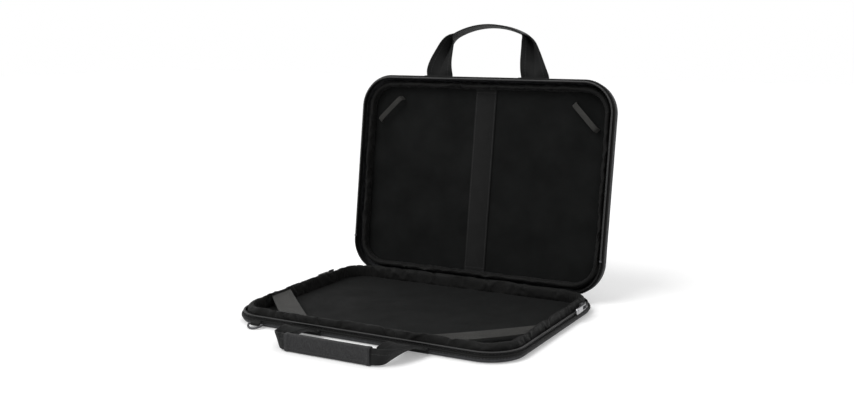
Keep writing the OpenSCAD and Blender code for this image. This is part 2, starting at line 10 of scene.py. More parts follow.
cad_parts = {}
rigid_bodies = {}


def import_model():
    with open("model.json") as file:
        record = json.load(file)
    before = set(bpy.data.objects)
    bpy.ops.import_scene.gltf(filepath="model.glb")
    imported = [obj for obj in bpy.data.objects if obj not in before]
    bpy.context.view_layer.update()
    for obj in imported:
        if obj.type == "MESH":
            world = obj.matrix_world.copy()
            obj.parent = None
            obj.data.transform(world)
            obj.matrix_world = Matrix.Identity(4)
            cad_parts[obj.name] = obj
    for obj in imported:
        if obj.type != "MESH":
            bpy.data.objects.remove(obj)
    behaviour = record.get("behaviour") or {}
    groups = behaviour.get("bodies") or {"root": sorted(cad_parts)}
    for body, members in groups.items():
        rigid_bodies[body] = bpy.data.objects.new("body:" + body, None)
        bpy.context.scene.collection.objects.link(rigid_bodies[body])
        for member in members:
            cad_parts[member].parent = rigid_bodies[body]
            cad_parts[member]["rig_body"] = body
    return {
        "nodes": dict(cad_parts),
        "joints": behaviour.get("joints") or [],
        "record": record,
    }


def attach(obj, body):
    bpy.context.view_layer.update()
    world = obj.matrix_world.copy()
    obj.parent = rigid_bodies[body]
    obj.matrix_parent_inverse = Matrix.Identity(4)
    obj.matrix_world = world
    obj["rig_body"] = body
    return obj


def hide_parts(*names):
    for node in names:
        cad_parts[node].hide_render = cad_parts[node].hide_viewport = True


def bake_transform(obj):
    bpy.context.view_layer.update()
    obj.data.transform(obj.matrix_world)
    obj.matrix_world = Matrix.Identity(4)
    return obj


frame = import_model()

bl_info = {
    "name": "Hinged carrying case",
    "version": (1, 0, 0),
    "blender": (4, 5, 0),
    "location": "3D View > Sidebar > Case",
    "description": "Dresses the packed frame of a hinged case in fabric, webbing and metal",
    "category": "Object",
}

MM = 0.001
HINGE = Vector(next(j["pos_m"] for j in frame["joints"] if j["name"] == "lid_hinge"))
RIGHT, UP = Vector((1, 0, 0)), Vector((0, 0, 1))

# Lengths in millimetres. An inset is how far inside the case's outline something lies.
BASE_EDGE, LID_EDGE = 6, 8  # radius of the shells' outer edges
ROLL_INSET = 5.8  # outer side of the padded rolls
ROLL_SLACK = 0.7  # how much smaller a roll is before it is filled
LID_FLOOR = 32.4  # level at which the lid's roll and its corner loops are sewn down
TEETH_INSET = 2.8  # middle of the zip's teeth
TEETH_DEPTH = 2.5
ZIP_END = 86.5  # how far back the teeth run
SPINE_INSET = 2.35  # middle of the cloth round the hinge side
SPINE_END = 89  # how far back that cloth starts
STRAP_LENGTH = 110  # along the middle of a base corner strap
POCKET_INSET = 11.1  # where the pockets are sewn down
POCKET_THICK = 1.1
POCKET_LAP = 1.2  # how far the lower pocket lies above the middle one
HEM = 9  # width of a pocket's turned hem
MIDDLE_MOUTH = (84, 49)  # the pockets' mouths, left and right, from the handle side
LOWER_MOUTH = (148, 106)
LEG_X = 68  # from the middle of the case to where a handle's leg is sewn on
HANDLE_OUT = 2.5  # where the handles leave the case, outside its outline
SLEEVE_MIDDLE = (57.5, 10.25)  # the sleeve's middle, outside the outline and up
RING_X = 136  # from the middle of the case to a strap ring

STRAP_ROWS, STRAP_COLUMNS = 24, 8  # faces along and across a base corner strap
HALF_SECTION = 12  # faces across each half of a handle's webbing
SEAM_POINT = 3  # its section's point that the stitches follow, counted from an edge
FULL_FOLD = math.radians(95)  # how far each half turns at the grip
FILL_STEPS = 20  # frames of simulation that fill a roll


# ---------------------------------------------------------------- what a user would change


def length_choice(name, description, default):
    """A length in metres that the panel shows."""
    return bpy.props.FloatProperty(name=name, description=description, default=default, unit="LENGTH")


def colour_choice(name, description, default):
    """A colour that the panel shows."""
    return bpy.props.FloatVectorProperty(
        name=name, description=description, default=default, size=3, subtype="COLOR", min=0, max=1
    )


class CaseSizes(bpy.types.PropertyGroup):
    """Sizes of the case that its soft pieces follow"""

    case_width: length_choice("Case width", "Width along the handle side", 0.360)
    case_depth: length_choice("Case depth", "Handle side to hinge side", 0.266)
    corner_radius: length_choice("Corner radius", "Corners seen from above", 0.042)
    lid_angle: bpy.props.FloatProperty(
        name="Lid angle",
        description="How far the lid stands open",
        default=math.radians(98.3),
        unit="ROTATION",
    )
    base_rim: length_choice("Base rim", "Height of the base's rim", 0.0086)
    lid_rim: length_choice("Lid rim", "Height of the closed lid's rim", 0.0186)
    case_height: length_choice("Case height", "Height of the closed case", 0.0372)
    roll_width: length_choice("Roll width", "Width of the padded rolls", 0.0087)
    webbing_width: length_choice("Webbing width", "Flat width of the handles", 0.038)
    webbing_thickness: length_choice("Webbing thickness", "Thickness of the handles", 0.002)
    pocket_bulge: length_choice("Pocket bulge", "How far the pocket stands open", 0.008)
    tooth_pitch: length_choice("Tooth pitch", "Distance from tooth to tooth", 0.0016)
    stitch_pitch: length_choice("Stitch pitch", "Distance from stitch to stitch", 0.0036)
    thread_radius: length_choice("Thread radius", "Half the thread's thickness", 0.00026)


class CaseColours(bpy.types.PropertyGroup):
    """Colours of the case's fabrics and metals"""

    heather_dark: colour_choice("Heather dark", "Dark yarn of the outer cloth", (0.017, 0.017, 0.0185))
    heather_light: colour_choice("Heather light", "Pale yarn of the outer cloth", (0.078, 0.080, 0.085))
    lining: colour_choice("Lining", "Knit inside the case", (0.0033, 0.0036, 0.0035))
    padding: colour_choice("Padding", "Cover of the padded rolls", (0.0050, 0.0050, 0.0048))
    webbing: colour_choice("Webbing", "Handles and tabs", (0.0090, 0.0092, 0.0092))
    sleeve: colour_choice("Sleeve", "Sleeve round the base's grip", (0.030, 0.030, 0.031))
    elastic: colour_choice("Elastic", "Straps inside the case", (0.030, 0.0295, 0.0275))
    centre_strap: colour_choice("Centre strap", "Band down the lid", (0.0046, 0.0047, 0.0047))
    binding: colour_choice("Binding", "Bound edges, piping and zip tape", (0.0031, 0.0031, 0.0030))
    thread: colour_choice("Thread", "Stitches", (0.016, 0.016, 0.0165))
    tooth: colour_choice("Teeth", "Zip coils", (0.0036, 0.0036, 0.0036))
    slider: colour_choice("Slider metal", "Sliders, stops and rings", (0.085, 0.085, 0.09))
    pull: colour_choice("Pull metal", "Zip pulls", (0.40, 0.40, 0.41))
    stud: colour_choice("Stud metal", "Stud on the outer face", (0.20, 0.205, 0.21))
    floor: colour_choice("Floor", "The plain floor", (0.88, 0.88, 0.88))


# ---------------------------------------------------------------- places on the case


class Measures:
    """The case's sizes in millimetres, as the panel has them."""

    def __init__(self, context):
        sizes = context.scene.case_sizes
        self.half_w = sizes.case_width / MM / 2
        self.half_d = sizes.case_depth / MM / 2
        self.corner = sizes.corner_radius / MM
        self.angle = sizes.lid_angle
        self.base_rim = sizes.base_rim / MM
        self.lid_rim = sizes.lid_rim / MM
        self.height = sizes.case_height / MM
        self.roll_w = sizes.roll_width / MM
        self.web_w = sizes.webbing_width / MM
        self.web_t = sizes.webbing_thickness / MM
        self.bulge = sizes.pocket_bulge / MM
        self.tooth = sizes.tooth_pitch / MM
        self.stitch = sizes.stitch_pitch / MM
        self.thread = sizes.thread_radius / MM
        self.side = 2 * (self.half_d - self.corner)
        self.front = 2 * (self.half_w - self.corner)
        self.arc = math.pi / 2 * self.corner
        self.around = 2 * self.side + 2 * self.front + 4 * self.arc

    def place(self, s):
        """The outline's point and outward direction at a distance along it.
        It starts on the right side at the hinge end, and runs to the handle side first."""
        s %= self.around
        w, d, r = self.half_w, self.half_d, self.corner
        legs = [
            (self.side, (w, d - r), (0, -1), (1, 0)),
            (self.arc, (w - r, -d + r), 0, None),
            (self.front, (w - r, -d), (-1, 0), (0, -1)),
            (self.arc, (-w + r, -d + r), -90, None),
            (self.side, (-w, -d + r), (0, 1), (-1, 0)),
            (self.arc, (-w + r, d - r), -180, None),
            (self.front, (-w + r, d), (1, 0), (0, 1)),
            (self.arc, (w - r, d - r), -270, None),
        ]
        for length, start, run, out in legs:
            if s <= length:
                break
            s -= length
        if out is None:
            a = math.radians(run) - s / r
            return start[0] + r * math.cos(a), start[1] + r * math.sin(a), math.cos(a), math.sin(a)
        return start[0] + run[0] * s, start[1] + run[1] * s, out[0], out[1]

    def zip_span(self, end_y):
        """Where the zip starts and ends along the outline, for its ends' place from front to back."""
        gap = self.half_d - self.corner - end_y
        return gap, 2 * self.side + 2 * self.arc + self.front - gap

    def spine_span(self, end_y):
        """Where the cloth round the hinge side starts and ends along the outline."""
        gap = self.half_d - self.corner - end_y
        return 2 * self.side + 2 * self.arc + self.front - gap, self.around + gap

    def plan_edge(self, x, inset):
        """How far back the outline, moved in by inset, reaches at x."""
        straight = self.half_w - self.corner
        if abs(x) <= straight:
            return self.half_d - inset
        r = self.corner - inset
        return self.half_d - self.corner + math.sqrt(max(0, r * r - (abs(x) - straight) ** 2))

    def open_lid(self, p):
        """Where a point of the closed lid is when the lid stands open."""
        c, s = math.cos(self.angle), math.sin(self.angle)
        y, z = p[1] - HINGE.y / MM, p[2] - HINGE.z / MM
        return (p[0], HINGE.y / MM + y * c + z * s, HINGE.z / MM - y * s + z * c)

    def opening(self, side):
        """How the points of a piece of the closed case move when the case opens: only the lid's do."""
        return self.open_lid if side == "lid" else None

    def turned_over(self, level):
        """The same for a piece of the lid that is shaped upside down, below a level of the lid."""
        return lambda p: self.open_lid((p[0], p[1], level - p[2]))


def spread(low, high, step):
    """Even places from low to high, about a step apart."""
    count = max(1, round(abs(high - low) / step))
    return [low + (high - low) * i / count for i in range(count + 1)]


def mix(a, b, t):
    """The value a share t of the way from a to b."""
    return a + (b - a) * t


def smooth(t):
    """A share eased at both of its ends."""
    t = min(1, max(0, t))
    return t * t * (3 - 2 * t)


def rough(x, y, z, size):
    """A smooth random value from -1 to 1, which changes over that many millimetres."""
    return noise.noise(Vector((x / size, y / size, z / size)))


# ---------------------------------------------------------------- shapes in code


class Shape:
    """Points and faces in millimetres, with each corner's place in the flat cloth."""

    def __init__(self):
        self.points = []
        self.faces = []
        self.cloth = []

    def grid(self, rows, down, across, round_rows=False, round_cols=False):
        """A net of faces through rows of points. down and across are the cloth's lengths."""
        first = len(self.points)
        width = len(rows[0])
        for row in rows:
            self.points.extend(row)
        for i in range(len(down) - 1):
            for j in range(len(across) - 1):
                k = (i + 1) % len(rows) if round_rows else i + 1
                n = (j + 1) % width if round_cols else j + 1
                corners = ((i, j), (k, j), (k, n), (i, n))
                self.faces.append(tuple(first + a * width + b for a, b in corners))
                left, right, low, high = across[j], across[j + 1], down[i], down[i + 1]
                self.cloth.append([(left, low), (left, high), (right, high), (right, low)])

    def fan(self, row, centre):
        """Closes a loop of points with faces to a centre point."""
        first = len(self.points)
        self.points.extend(row)
        self.points.append(centre)
        last = len(self.points) - 1
        for i in range(len(row)):
            k = (i + 1) % len(row)
            self.faces.append((first + i, first + k, last))
            self.cloth.append([row[i][:2], row[k][:2], centre[:2]])

    def close_ends(self, rows):
        """Closes the first and the last of a net's rows, each a loop."""
        for row in (rows[0][::-1], rows[-1]):
            self.fan(row, tuple(sum(p[k] for p in row) / len(row) for k in range(3)))

    def tube(self, path, section):
        """A closed section swept along a path, whose entries are a centre and two cross directions."""
        rows = []
        for centre, side, up in path:
            rows.append([tuple(Vector(centre) + side * a + up * b) for a, b in section])
        across = lengths([(*p, 0) for p in (*section, section[0])])
        self.grid(rows, lengths([centre for centre, _, _ in path]), across, round_cols=True)
        self.fan(rows[0][::-1], tuple(path[0][0]))
        self.fan(rows[-1], tuple(path[-1][0]))

    def build(self, name, material, change=None):
        """Makes the object, in metres, with the change applied to each point first."""
        points = [change(p) for p in self.points] if change else self.points
        mesh = bpy.data.meshes.new(name)
        mesh.from_pydata([[c * MM for c in p] for p in points], [], self.faces)
        layer = mesh.uv_layers.new(name="Cloth")
        flat = [c * MM for face in self.cloth for corner in face for c in corner]
        layer.data.foreach_set("uv", flat)
        mesh.materials.append(finish(material))
        edit = bmesh.new()
        edit.from_mesh(mesh)
        bmesh.ops.remove_doubles(edit, verts=edit.verts, dist=1e-6)
        bmesh.ops.recalc_face_normals(edit, faces=edit.faces)
        edit.to_mesh(mesh)
        edit.free()
        mesh.shade_smooth()
        mesh.set_sharp_from_angle(angle=math.radians(50))
        made = bpy.data.objects.new(name, mesh)
        bpy.context.scene.collection.objects.link(made)
        return made


def lengths(row):
    """Distances along a row of points."""
    out = [0]
    for a, b in zip(row, row[1:]):
        out.append(out[-1] + (Vector(b) - Vector(a)).length)
    return out


def sweep(shape, m, profile, span=None, step=4, wobble=None, closed_profile=False):
    """Adds a profile of outward distances and heights, swept along the outline or a span of it.
    wobble(s, i, z) gives how far a point moves outwards and up."""
    places = spread(*(span or (0, m.around)), step)
    rows = []
    for s in places if span else places[:-1]:
        x, y, nx, ny = m.place(s)
        row = []
        for i, (u, z) in enumerate(profile):
            du, dz = wobble(s, i, z) if wobble else (0, 0)
            row.append((x + nx * (u + du), y + ny * (u + du), z + dz))
        rows.append(row)
    loop = [(*p, 0) for p in profile]
    across = lengths(loop + loop[:1]) if closed_profile else lengths(loop)
    shape.grid(rows, places, across, round_rows=not span, round_cols=closed_profile)
    if span and closed_profile:
        shape.close_ends(rows)


def plate(shape, m, inset, step, height):
    """Adds a gently shaped plate inside the outline. height(x, y) gives its level."""
    rows = []
    places = spread(0, m.around, step)[:-1]
    for share in (1, 0.985, 0.94, 0.86, 0.74, 0.58, 0.4, 0.2):
        row = []
        for s in places:
            x, y, nx, ny = m.place(s)
            px, py = (x - nx * inset) * share, (y - ny * inset) * share
            row.append((px, py, height(px, py)))
        rows.append(row)
    first, count = len(shape.points), len(places)
    for row in rows:
        shape.points.extend(row)
    for i in range(len(rows) - 1):
        for j in range(count):
            k = (j + 1) % count
            corners = ((i, j), (i + 1, j), (i + 1, k), (i, k))
            shape.faces.append(tuple(first + a * count + b for a, b in corners))
            shape.cloth.append([rows[a][b][:2] for a, b in corners])
    shape.fan(rows[-1], (0, 0, height(0, 0)))


def arc(centre, radius, start, end, count):
    """Points of an arc, angles in degrees."""
    return [
        (centre[0] + radius * math.cos(math.radians(a)), centre[1] + radius * math.sin(math.radians(a)))
        for a in (mix(start, end, i / count) for i in range(count + 1))
    ]


def round_section(across, deep, count):
    """A round or oval section, from its two half widths."""
    turns = [math.tau * i / count for i in range(count)]
    return [(across * math.cos(a), deep * math.sin(a)) for a in turns]


def box_section(width, depth, corner, steps):
    """A box section with rounded corners."""
    points = []
    for a, sx, sy in ((0, 1, 1), (90, -1, 1), (180, -1, -1), (270, 1, -1)):
        middle = (sx * (width / 2 - corner), sy * (depth / 2 - corner))
        points.extend(arc(middle, corner, a, a + 90, steps))
    return points


def run_at(path, n):
    """The direction of a path at one of its points."""
    before, after = path[max(0, n - 1)], path[min(n + 1, len(path) - 1)]
    return (Vector(after) - Vector(before)).normalized()


def stitch_row(shape, line, up, m, closed=False):
    """Adds a row of stitches along a line of points. up is the cloth's outward direction,
    or a list with one for each point."""
    line = [Vector(p) for p in line]
    if closed:
        line.append(line[0])
    at = lengths(line)
    count = max(1, round(at[-1] / m.stitch))
    pitch = at[-1] / count
    long = pitch * 0.36
    section = round_section(m.thread, m.thread * 0.9, 6)
    n = 0
    for i in range(count):
        middle = (i + 0.5) * pitch
        while at[n + 1] < middle and n < len(line) - 2:
            n += 1
        run = (line[n + 1] - line[n]).normalized()
        centre = line[n] + run * (middle - at[n])
        out = (Vector(up[n]) if isinstance(up, list) else Vector(up)).normalized()
        side = run.cross(out).normalized()
        path = []
        for along, sink, thin in ((-1, 1.1, 0.5), (-0.7, 0.25, 1), (0.7, 0.25, 1), (1, 1.1, 0.5)):
            spot = centre + run * long * along - out * m.thread * sink
            path.append((spot, side * thin, out * thin))
        shape.tube(path, section)


def ring_stitches(shape, m, u, z, up=None):
    """Adds a row of stitches right round the outline, at an outward distance and height."""
    spots = [m.place(s) for s in spread(0, m.around, 3)[:-1]]
    points = [(x + nx * u, y + ny * u, z) for x, y, nx, ny in spots]
    outs = [(nx, ny, 0) for x, y, nx, ny in spots]
    stitch_row(shape, points, up or outs, m, closed=True)


def finish_piece(made, body, slot, *nodes):
    """Ties a piece to its body and hides the frame's pieces that it stands for. slot is not used."""
    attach(made, body)
    if nodes:
        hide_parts(*nodes)
    return made


def add_piece(shape, name, material, body, slot, *nodes, change=None):
    """Makes a shape's object, ties it to its body and hides the frame's pieces. slot is not used."""
    return finish_piece(shape.build(name, material, change), body, slot, *nodes)


def finish_node(node, material):
    """Gives a finish to a piece of the frame that keeps its own mesh."""
    for place in frame["nodes"][node].material_slots:
        place.material = finish(material)


def soften(made):
    """Rounds a piece by one level of subdivision."""
    rounder = made.modifiers.new("Soft", "SUBSURF")
    rounder.levels = 1
    rounder.render_levels = 1


# ---------------------------------------------------------------- materials


class Graph:
    """Adds and joins the nodes of one tree."""

    def __init__(self, tree):
        self.tree = tree

    def add(self, kind, settings, inputs, output=0):
        node = self.tree.nodes.new(kind)
        for name, value in settings.items():
            setattr(node, name, value)
        for key, value in inputs.items():
            self.join(value, node.inputs[key])
        return node.outputs[output]

    def join(self, value, socket):
        if isinstance(value, bpy.types.NodeSocket):
            self.tree.links.new(value, socket)
        else:
            socket.default_value = value

    def math(self, operation, *values):
        return self.add("ShaderNodeMath", {"operation": operation}, dict(enumerate(values)))

    def vector_math(self, operation, *values):
        return self.add("ShaderNodeVectorMath", {"operation": operation}, dict(enumerate(values)))

    def noise(self, vector, scale, detail, roughness):
        inputs = {"Vector": vector, "Scale": scale, "Detail": detail, "Roughness": roughness}
        return self.add("ShaderNodeTexNoise", {"noise_dimensions": "3D"}, inputs)

    def fade(self, value, low, high, to_low=0.0, to_high=1.0):
        inputs = {0: value, 1: low, 2: high, 3: to_low, 4: to_high}
        return self.add("ShaderNodeMapRange", {"clamp": True}, inputs)

    def blend(self, share, a, b):
        settings = {"data_type": "RGBA", "blend_type": "MIX"}
        return self.add("ShaderNodeMix", settings, {0: share, 6: a, 7: b}, output=2)

    def split(self, vector):
        node = self.tree.nodes.new("ShaderNodeSeparateXYZ")
        self.join(vector, node.inputs[0])
        return node.outputs[0], node.outputs[1], node.outputs[2]

    def combine(self, x, y, z):
        return self.add("ShaderNodeCombineXYZ", {}, {0: x, 1: y, 2: z})


def effect(name, inputs, outputs):
    """A new shared effect: its tree's Graph, its given values and the sockets of its results."""
    tree = bpy.data.node_groups.new(name, "ShaderNodeTree")
    for label, kind, default in inputs:
        socket = tree.interface.new_socket(name=label, in_out="INPUT", socket_type=kind)
        if default is not None:
            socket.default_value = default
    for label, kind in outputs:
        tree.interface.new_socket(name=label, in_out="OUTPUT", socket_type=kind)
    start = tree.nodes.new("NodeGroupInput")
    end = tree.nodes.new("NodeGroupOutput")
    return Graph(tree), start.outputs, end.inputs


def make_heather_effect():
    """Yarns of mixed grey in a plain weave. Cloth place is in millimetres."""
    g, given, result = effect(
        "Heather yarns",
        [
            ("Cloth place", "NodeSocketVector", None),
            ("Yarn width", "NodeSocketFloat", 0.55),
            ("Fleck length", "NodeSocketFloat", 4.0),
        ],
        [("Paleness", "NodeSocketFloat"), ("Height", "NodeSocketFloat")],
    )
    scaled = g.vector_math("DIVIDE", given["Cloth place"], g.combine(*[given["Yarn width"]] * 3))
    x, y, _ = g.split(scaled)
    column, line = g.math("FLOOR", x), g.math("FLOOR", y)
    slow = g.math("DIVIDE", given["Yarn width"], given["Fleck length"])
    warp_place = g.combine(g.math("MULTIPLY", column, 7.31), g.math("MULTIPLY", y, slow), 0.0)
    weft_place = g.combine(g.math("MULTIPLY", x, slow), g.math("MULTIPLY", line, 5.17), 40.0)
    warp = g.noise(warp_place, 1.0, 2, 0.6)
    weft = g.noise(weft_place, 1.0, 2, 0.6)
    over = g.math("PINGPONG", g.math("ADD", column, line), 1.0)
    seen_warp = g.math("MULTIPLY", warp, over)
    seen_weft = g.math("MULTIPLY", weft, g.math("SUBTRACT", 1.0, over))
    g.join(g.fade(g.math("ADD", seen_warp, seen_weft), 0.36, 0.70), result["Paleness"])
    warp_round = g.math("ABSOLUTE", g.math("SINE", g.math("MULTIPLY", x, math.pi)))
    weft_round = g.math("ABSOLUTE", g.math("SINE", g.math("MULTIPLY", y, math.pi)))
    g.join(g.math("MULTIPLY", warp_round, weft_round), result["Height"])
    return g.tree


def make_rib_effect():
    """Ribs across a strap, bent into shallow chevrons. Cloth place is in millimetres."""
    g, given, result = effect(
        "Woven ribs",
        [
            ("Cloth place", "NodeSocketVector", None),
            ("Rib pitch", "NodeSocketFloat", 1.1),
            ("Chevron width", "NodeSocketFloat", 2.4),
            ("Slant", "NodeSocketFloat", 0.5),
        ],
        [("Height", "NodeSocketFloat"), ("Groove", "NodeSocketFloat")],
    )
    x, y, _ = g.split(given["Cloth place"])
    bend = g.math("MULTIPLY", g.math("PINGPONG", x, given["Chevron width"]), given["Slant"])
    turn = g.math("DIVIDE", g.math("ADD", y, bend), given["Rib pitch"])
    rib = g.math("ABSOLUTE", g.math("SINE", g.math("MULTIPLY", turn, math.pi)))
    g.join(rib, result["Height"])
    # Marks the grooves between the ribs, which the materials darken as painted shade.
    g.join(g.fade(rib, 0.0, 0.5, 1.0, 0.0), result["Groove"])
    return g.tree


def make_wear_effect():
    """Slow changes of shade over a surface, with a little lint. Place is in metres."""
    g, given, result = effect(
        "Handling",
        [("Place", "NodeSocketVector", None), ("Patch size", "NodeSocketFloat", 0.06)],
        [("Shade", "NodeSocketFloat"), ("Lint", "NodeSocketFloat")],
    )
    size = g.math("DIVIDE", 1.0, given["Patch size"])
    g.join(g.fade(g.noise(given["Place"], size, 3, 0.55), 0.3, 0.7), result["Shade"])
    specks = g.noise(given["Place"], 900.0, 2, 0.7)
    g.join(g.fade(specks, 0.66, 0.80), result["Lint"])
    return g.tree


def group(g, name, inputs, *outputs):
    """Places a shared effect in a material and gives the sockets of its results that are asked for."""
    node = g.tree.nodes.new("ShaderNodeGroup")
    node.node_tree = bpy.data.node_groups[name]
    for key, value in inputs.items():
        g.join(value, node.inputs[key])
    return [node.outputs[key] for key in outputs]


def new_material(name):
    """Makes a material with only its output and Principled shader, and gives its Graph and shader."""
    material = bpy.data.materials.new(name)
    material.use_nodes = True
    return Graph(material.node_tree), material.node_tree.nodes["Principled BSDF"]


def set_inputs(shader, values):
    """Sets plain values on the shader's own sockets."""
    for name, value in values.items():
        shader.inputs[name].default_value = value


def cloth_place(g):
    """The place in the flat cloth, in millimetres."""
    flat = g.add("ShaderNodeTexCoord", {}, {}, output="UV")
    return g.vector_math("MULTIPLY", flat, (1 / MM, 1 / MM, 1 / MM))


def object_place(g):
    """The place on the object, in metres."""
    return g.add("ShaderNodeTexCoord", {}, {}, output="Object")


def bump(g, shader, height, depth):
    """Feeds a height to the shader's Normal. depth is in metres."""
    inputs = {"Height": height, "Distance": depth}
    g.join(g.add("ShaderNodeBump", {}, inputs), shader.inputs["Normal"])


def toned(colour, share):
    """A colour's three shares, each made stronger or weaker."""
    return [min(1, c * share) for c in colour]


def paint(colour, share):
    """The same as a colour for a socket."""
    return (*toned(colour, share), 1)


def heather_material(name, dark, light, yarn, fleck):
    """Outer cloth woven from mixed yarns. yarn and fleck are in millimetres."""
    g, shader = new_material(name)
    cloth = cloth_place(g)
    weave = {"Cloth place": cloth, "Yarn width": yarn, "Fleck length": fleck}
    pale, height = group(g, "Heather yarns", weave, "Paleness", "Height")
    wear = {"Place": object_place(g), "Patch size": 0.05}
    shade, lint = group(g, "Handling", wear, "Shade", "Lint")
    blotch = g.noise(cloth, 0.16, 3, 0.6)
    share = g.math("ADD", g.math("MULTIPLY", pale, 0.72), g.fade(blotch, 0.25, 0.75, 0.05, 0.23))
    yarns = g.blend(share, paint(dark, 1), paint(light, 1))
    # Painted shade: the low places between the yarns are darkened towards half the dark yarn's colour.
    deep = g.blend(g.fade(height, 0.0, 0.25, 0.45, 0.0), yarns, paint(dark, 0.5))
    rubbed = g.blend(g.math("MULTIPLY", shade, 0.12), deep, paint(light, 0.55))
    linted = g.blend(g.math("MULTIPLY", lint, 0.25), rubbed, paint(light, 1.6))
    g.join(linted, shader.inputs["Base Color"])
    g.join(g.fade(pale, 0.0, 1.0, 0.82, 0.70), shader.inputs["Roughness"])
    set_inputs(shader, {"Sheen Weight": 0.04, "Sheen Roughness": 0.45, "Specular IOR Level": 0.2})
    bump(g, shader, height, 0.00018)


def ribbed_colour(g, shader, colour, ribs, patch, worn, groove_shade, lint):
    """Colours a ribbed cloth and gives its ribs' height and its shade. worn is its least and most
    paleness where handled; the next argument is the share and paleness of painted shade in the
    grooves between the ribs, and lint has a share and a paleness too."""
    height, groove_shade_mask = group(g, "Woven ribs", {"Cloth place": cloth_place(g), **ribs}, "Height", "Groove")
    wear = {"Place": object_place(g), "Patch size": patch}
    shade, specks = group(g, "Handling", wear, "Shade", "Lint")
    handled = g.blend(shade, paint(colour, worn[0]), paint(colour, worn[1]))
    # Painted shade: the grooves between the ribs are darkened by the share and paleness given for them.
    deep = g.blend(g.math("MULTIPLY", groove_shade_mask, groove_shade[0]), handled, paint(colour, groove_shade[1]))
    linted = g.blend(g.math("MULTIPLY", specks, lint[0]), deep, paint(colour, lint[1]))
    g.join(linted, shader.inputs["Base Color"])
    return height, shade


def knit_material(name, colour, stitch, sheen, roughness):
    """A fine knit, such as a lining or the cover of a padded roll. stitch is in millimetres."""
    g, shader = new_material(name)
    ribs = {"Rib pitch": stitch, "Chevron width": stitch, "Slant": 1.0}
    # (0.5, 0.35) darkens the grooves between the stitches as painted shade.
    height, shade = ribbed_colour(g, shader, colour, ribs, 0.04, (0.78, 1.35), (0.5, 0.35), (0.12, 5))
    g.join(g.fade(shade, 0.0, 1.0, roughness + 0.06, roughness - 0.06), shader.inputs["Roughness"])
    set_inputs(shader, {"Sheen Weight": sheen, "Sheen Roughness": 0.4, "Specular IOR Level": 0.13})
    bump(g, shader, height, 0.00012)


def strap_material(name, colour, pitch, chevron, slant, depth, sheen):
    """Woven strap with ribs across it. pitch and chevron are in millimetres, depth is in metres."""
    g, shader = new_material(name)
    ribs = {"Rib pitch": pitch, "Chevron width": chevron, "Slant": slant}
    # (0.7, 0.3) darkens the grooves between the ribs as painted shade.
    height, _ = ribbed_colour(g, shader, colour, ribs, 0.02, (0.8, 1.4), (0.7, 0.3), (0.15, 4))
    g.join(g.fade(height, 0.0, 1.0, 0.8, 0.58), shader.inputs["Roughness"])
    set_inputs(shader, {"Sheen Weight": sheen, "Sheen Roughness": 0.5, "Specular IOR Level": 0.15})
    bump(g, shader, height, depth)


def metal_material(name, colour, roughness):
    """Cast or stamped metal with fine scratches and dulled patches."""
    g, shader = new_material(name)
    place = object_place(g)
    (shade,) = group(g, "Handling", {"Place": place, "Patch size": 0.006}, "Shade")
    drawn = g.vector_math("MULTIPLY", place, (700.0, 2600.0, 2600.0))
    scratches = g.noise(drawn, 1.0, 3, 0.6)
    g.join(g.blend(shade, paint(colour, 0.86), paint(colour, 1.06)), shader.inputs["Base Color"])
    shader.inputs["Metallic"].default_value = 1
    dull = g.fade(shade, 0.0, 1.0, roughness, roughness + 0.1)
    scratched = g.math("ADD", dull, g.fade(scratches, 0.3, 0.7, 0.0, 0.08))
    g.join(scratched, shader.inputs["Roughness"])
    bump(g, shader, scratches, 0.00002)


def nylon_material(name, colour, roughness):
    """Moulded nylon or twisted thread."""
    g, shader = new_material(name)
    place = object_place(g)
    (shade,) = group(g, "Handling", {"Place": place, "Patch size": 0.01}, "Shade")
    grain = g.noise(place, 3500.0, 2, 0.6)
    g.join(g.blend(shade, paint(colour, 0.8), paint(colour, 1.3)), shader.inputs["Base Color"])
    g.join(g.fade(grain, 0.3, 0.7, roughness - 0.07, roughness + 0.09), shader.inputs["Roughness"])
    bump(g, shader, grain, 0.00004)


def finish(name):
    """A material by its name."""
    return bpy.data.materials[name]


class CASE_OT_finishes(bpy.types.Operator):
    """Make every fabric, thread and metal that the case's pieces use"""

    bl_idname = "case.finishes"
    bl_label = "Finishes"

    def execute(self, context):
        c = context.scene.case_colours
        make_heather_effect()
        make_rib_effect()
        make_wear_effect()
        heather_material("Outer cloth", c.heather_dark, c.heather_light, 0.6, 5.0)
        heather_material("Pocket cloth", c.heather_dark, c.heather_light, 0.55, 6.0)
        heather_material("Sleeve cloth", toned(c.sleeve, 0.45), toned(c.sleeve, 1.7), 0.9, 2.0)
        knit_material("Lining knit", c.lining, 0.8, 0.01, 0.85)
        knit_material("Roll cover", c.padding, 0.7, 0.03, 0.60)
        strap_material("Handle webbing", c.webbing, 1.3, 2.4, 0.5, 0.00028, 0.02)
        strap_material("Centre strap", c.centre_strap, 1.2, 2.0, 0.5, 0.00024, 0.01)
        strap_material("Elastic", c.elastic, 1.0, 100.0, 0.0, 0.0002, 0.03)
        strap_material("Binding tape", c.binding, 0.8, 100.0, 0.0, 0.00015, 0.01)
        nylon_material("Thread", c.thread, 0.55)
        nylon_material("Zip teeth", c.tooth, 0.36)
        metal_material("Slider metal", c.slider, 0.34)
        metal_material("Pull metal", c.pull, 0.30)
        metal_material("Stud metal", c.stud, 0.34)
        return {"FINISHED"}


# ---------------------------------------------------------------- shells and linings


def rim_profile(rim, edge):
    """Outer line of a tray, from inside its rim round the edge to the floor."""
    line = [(-2.5, rim - 3), (-2.5, rim - 0.6), (-2.1, rim - 0.2)]
    line += [(-1.2, rim), (-0.5, rim - 0.2), (0, rim - 0.9)]
    line += [(0, z) for z in spread(rim - 2, edge, 1.6)]
    line += [(u - edge, z + edge) for u, z in arc((0, 0), edge, 0, -90, 8)][1:]
    return line


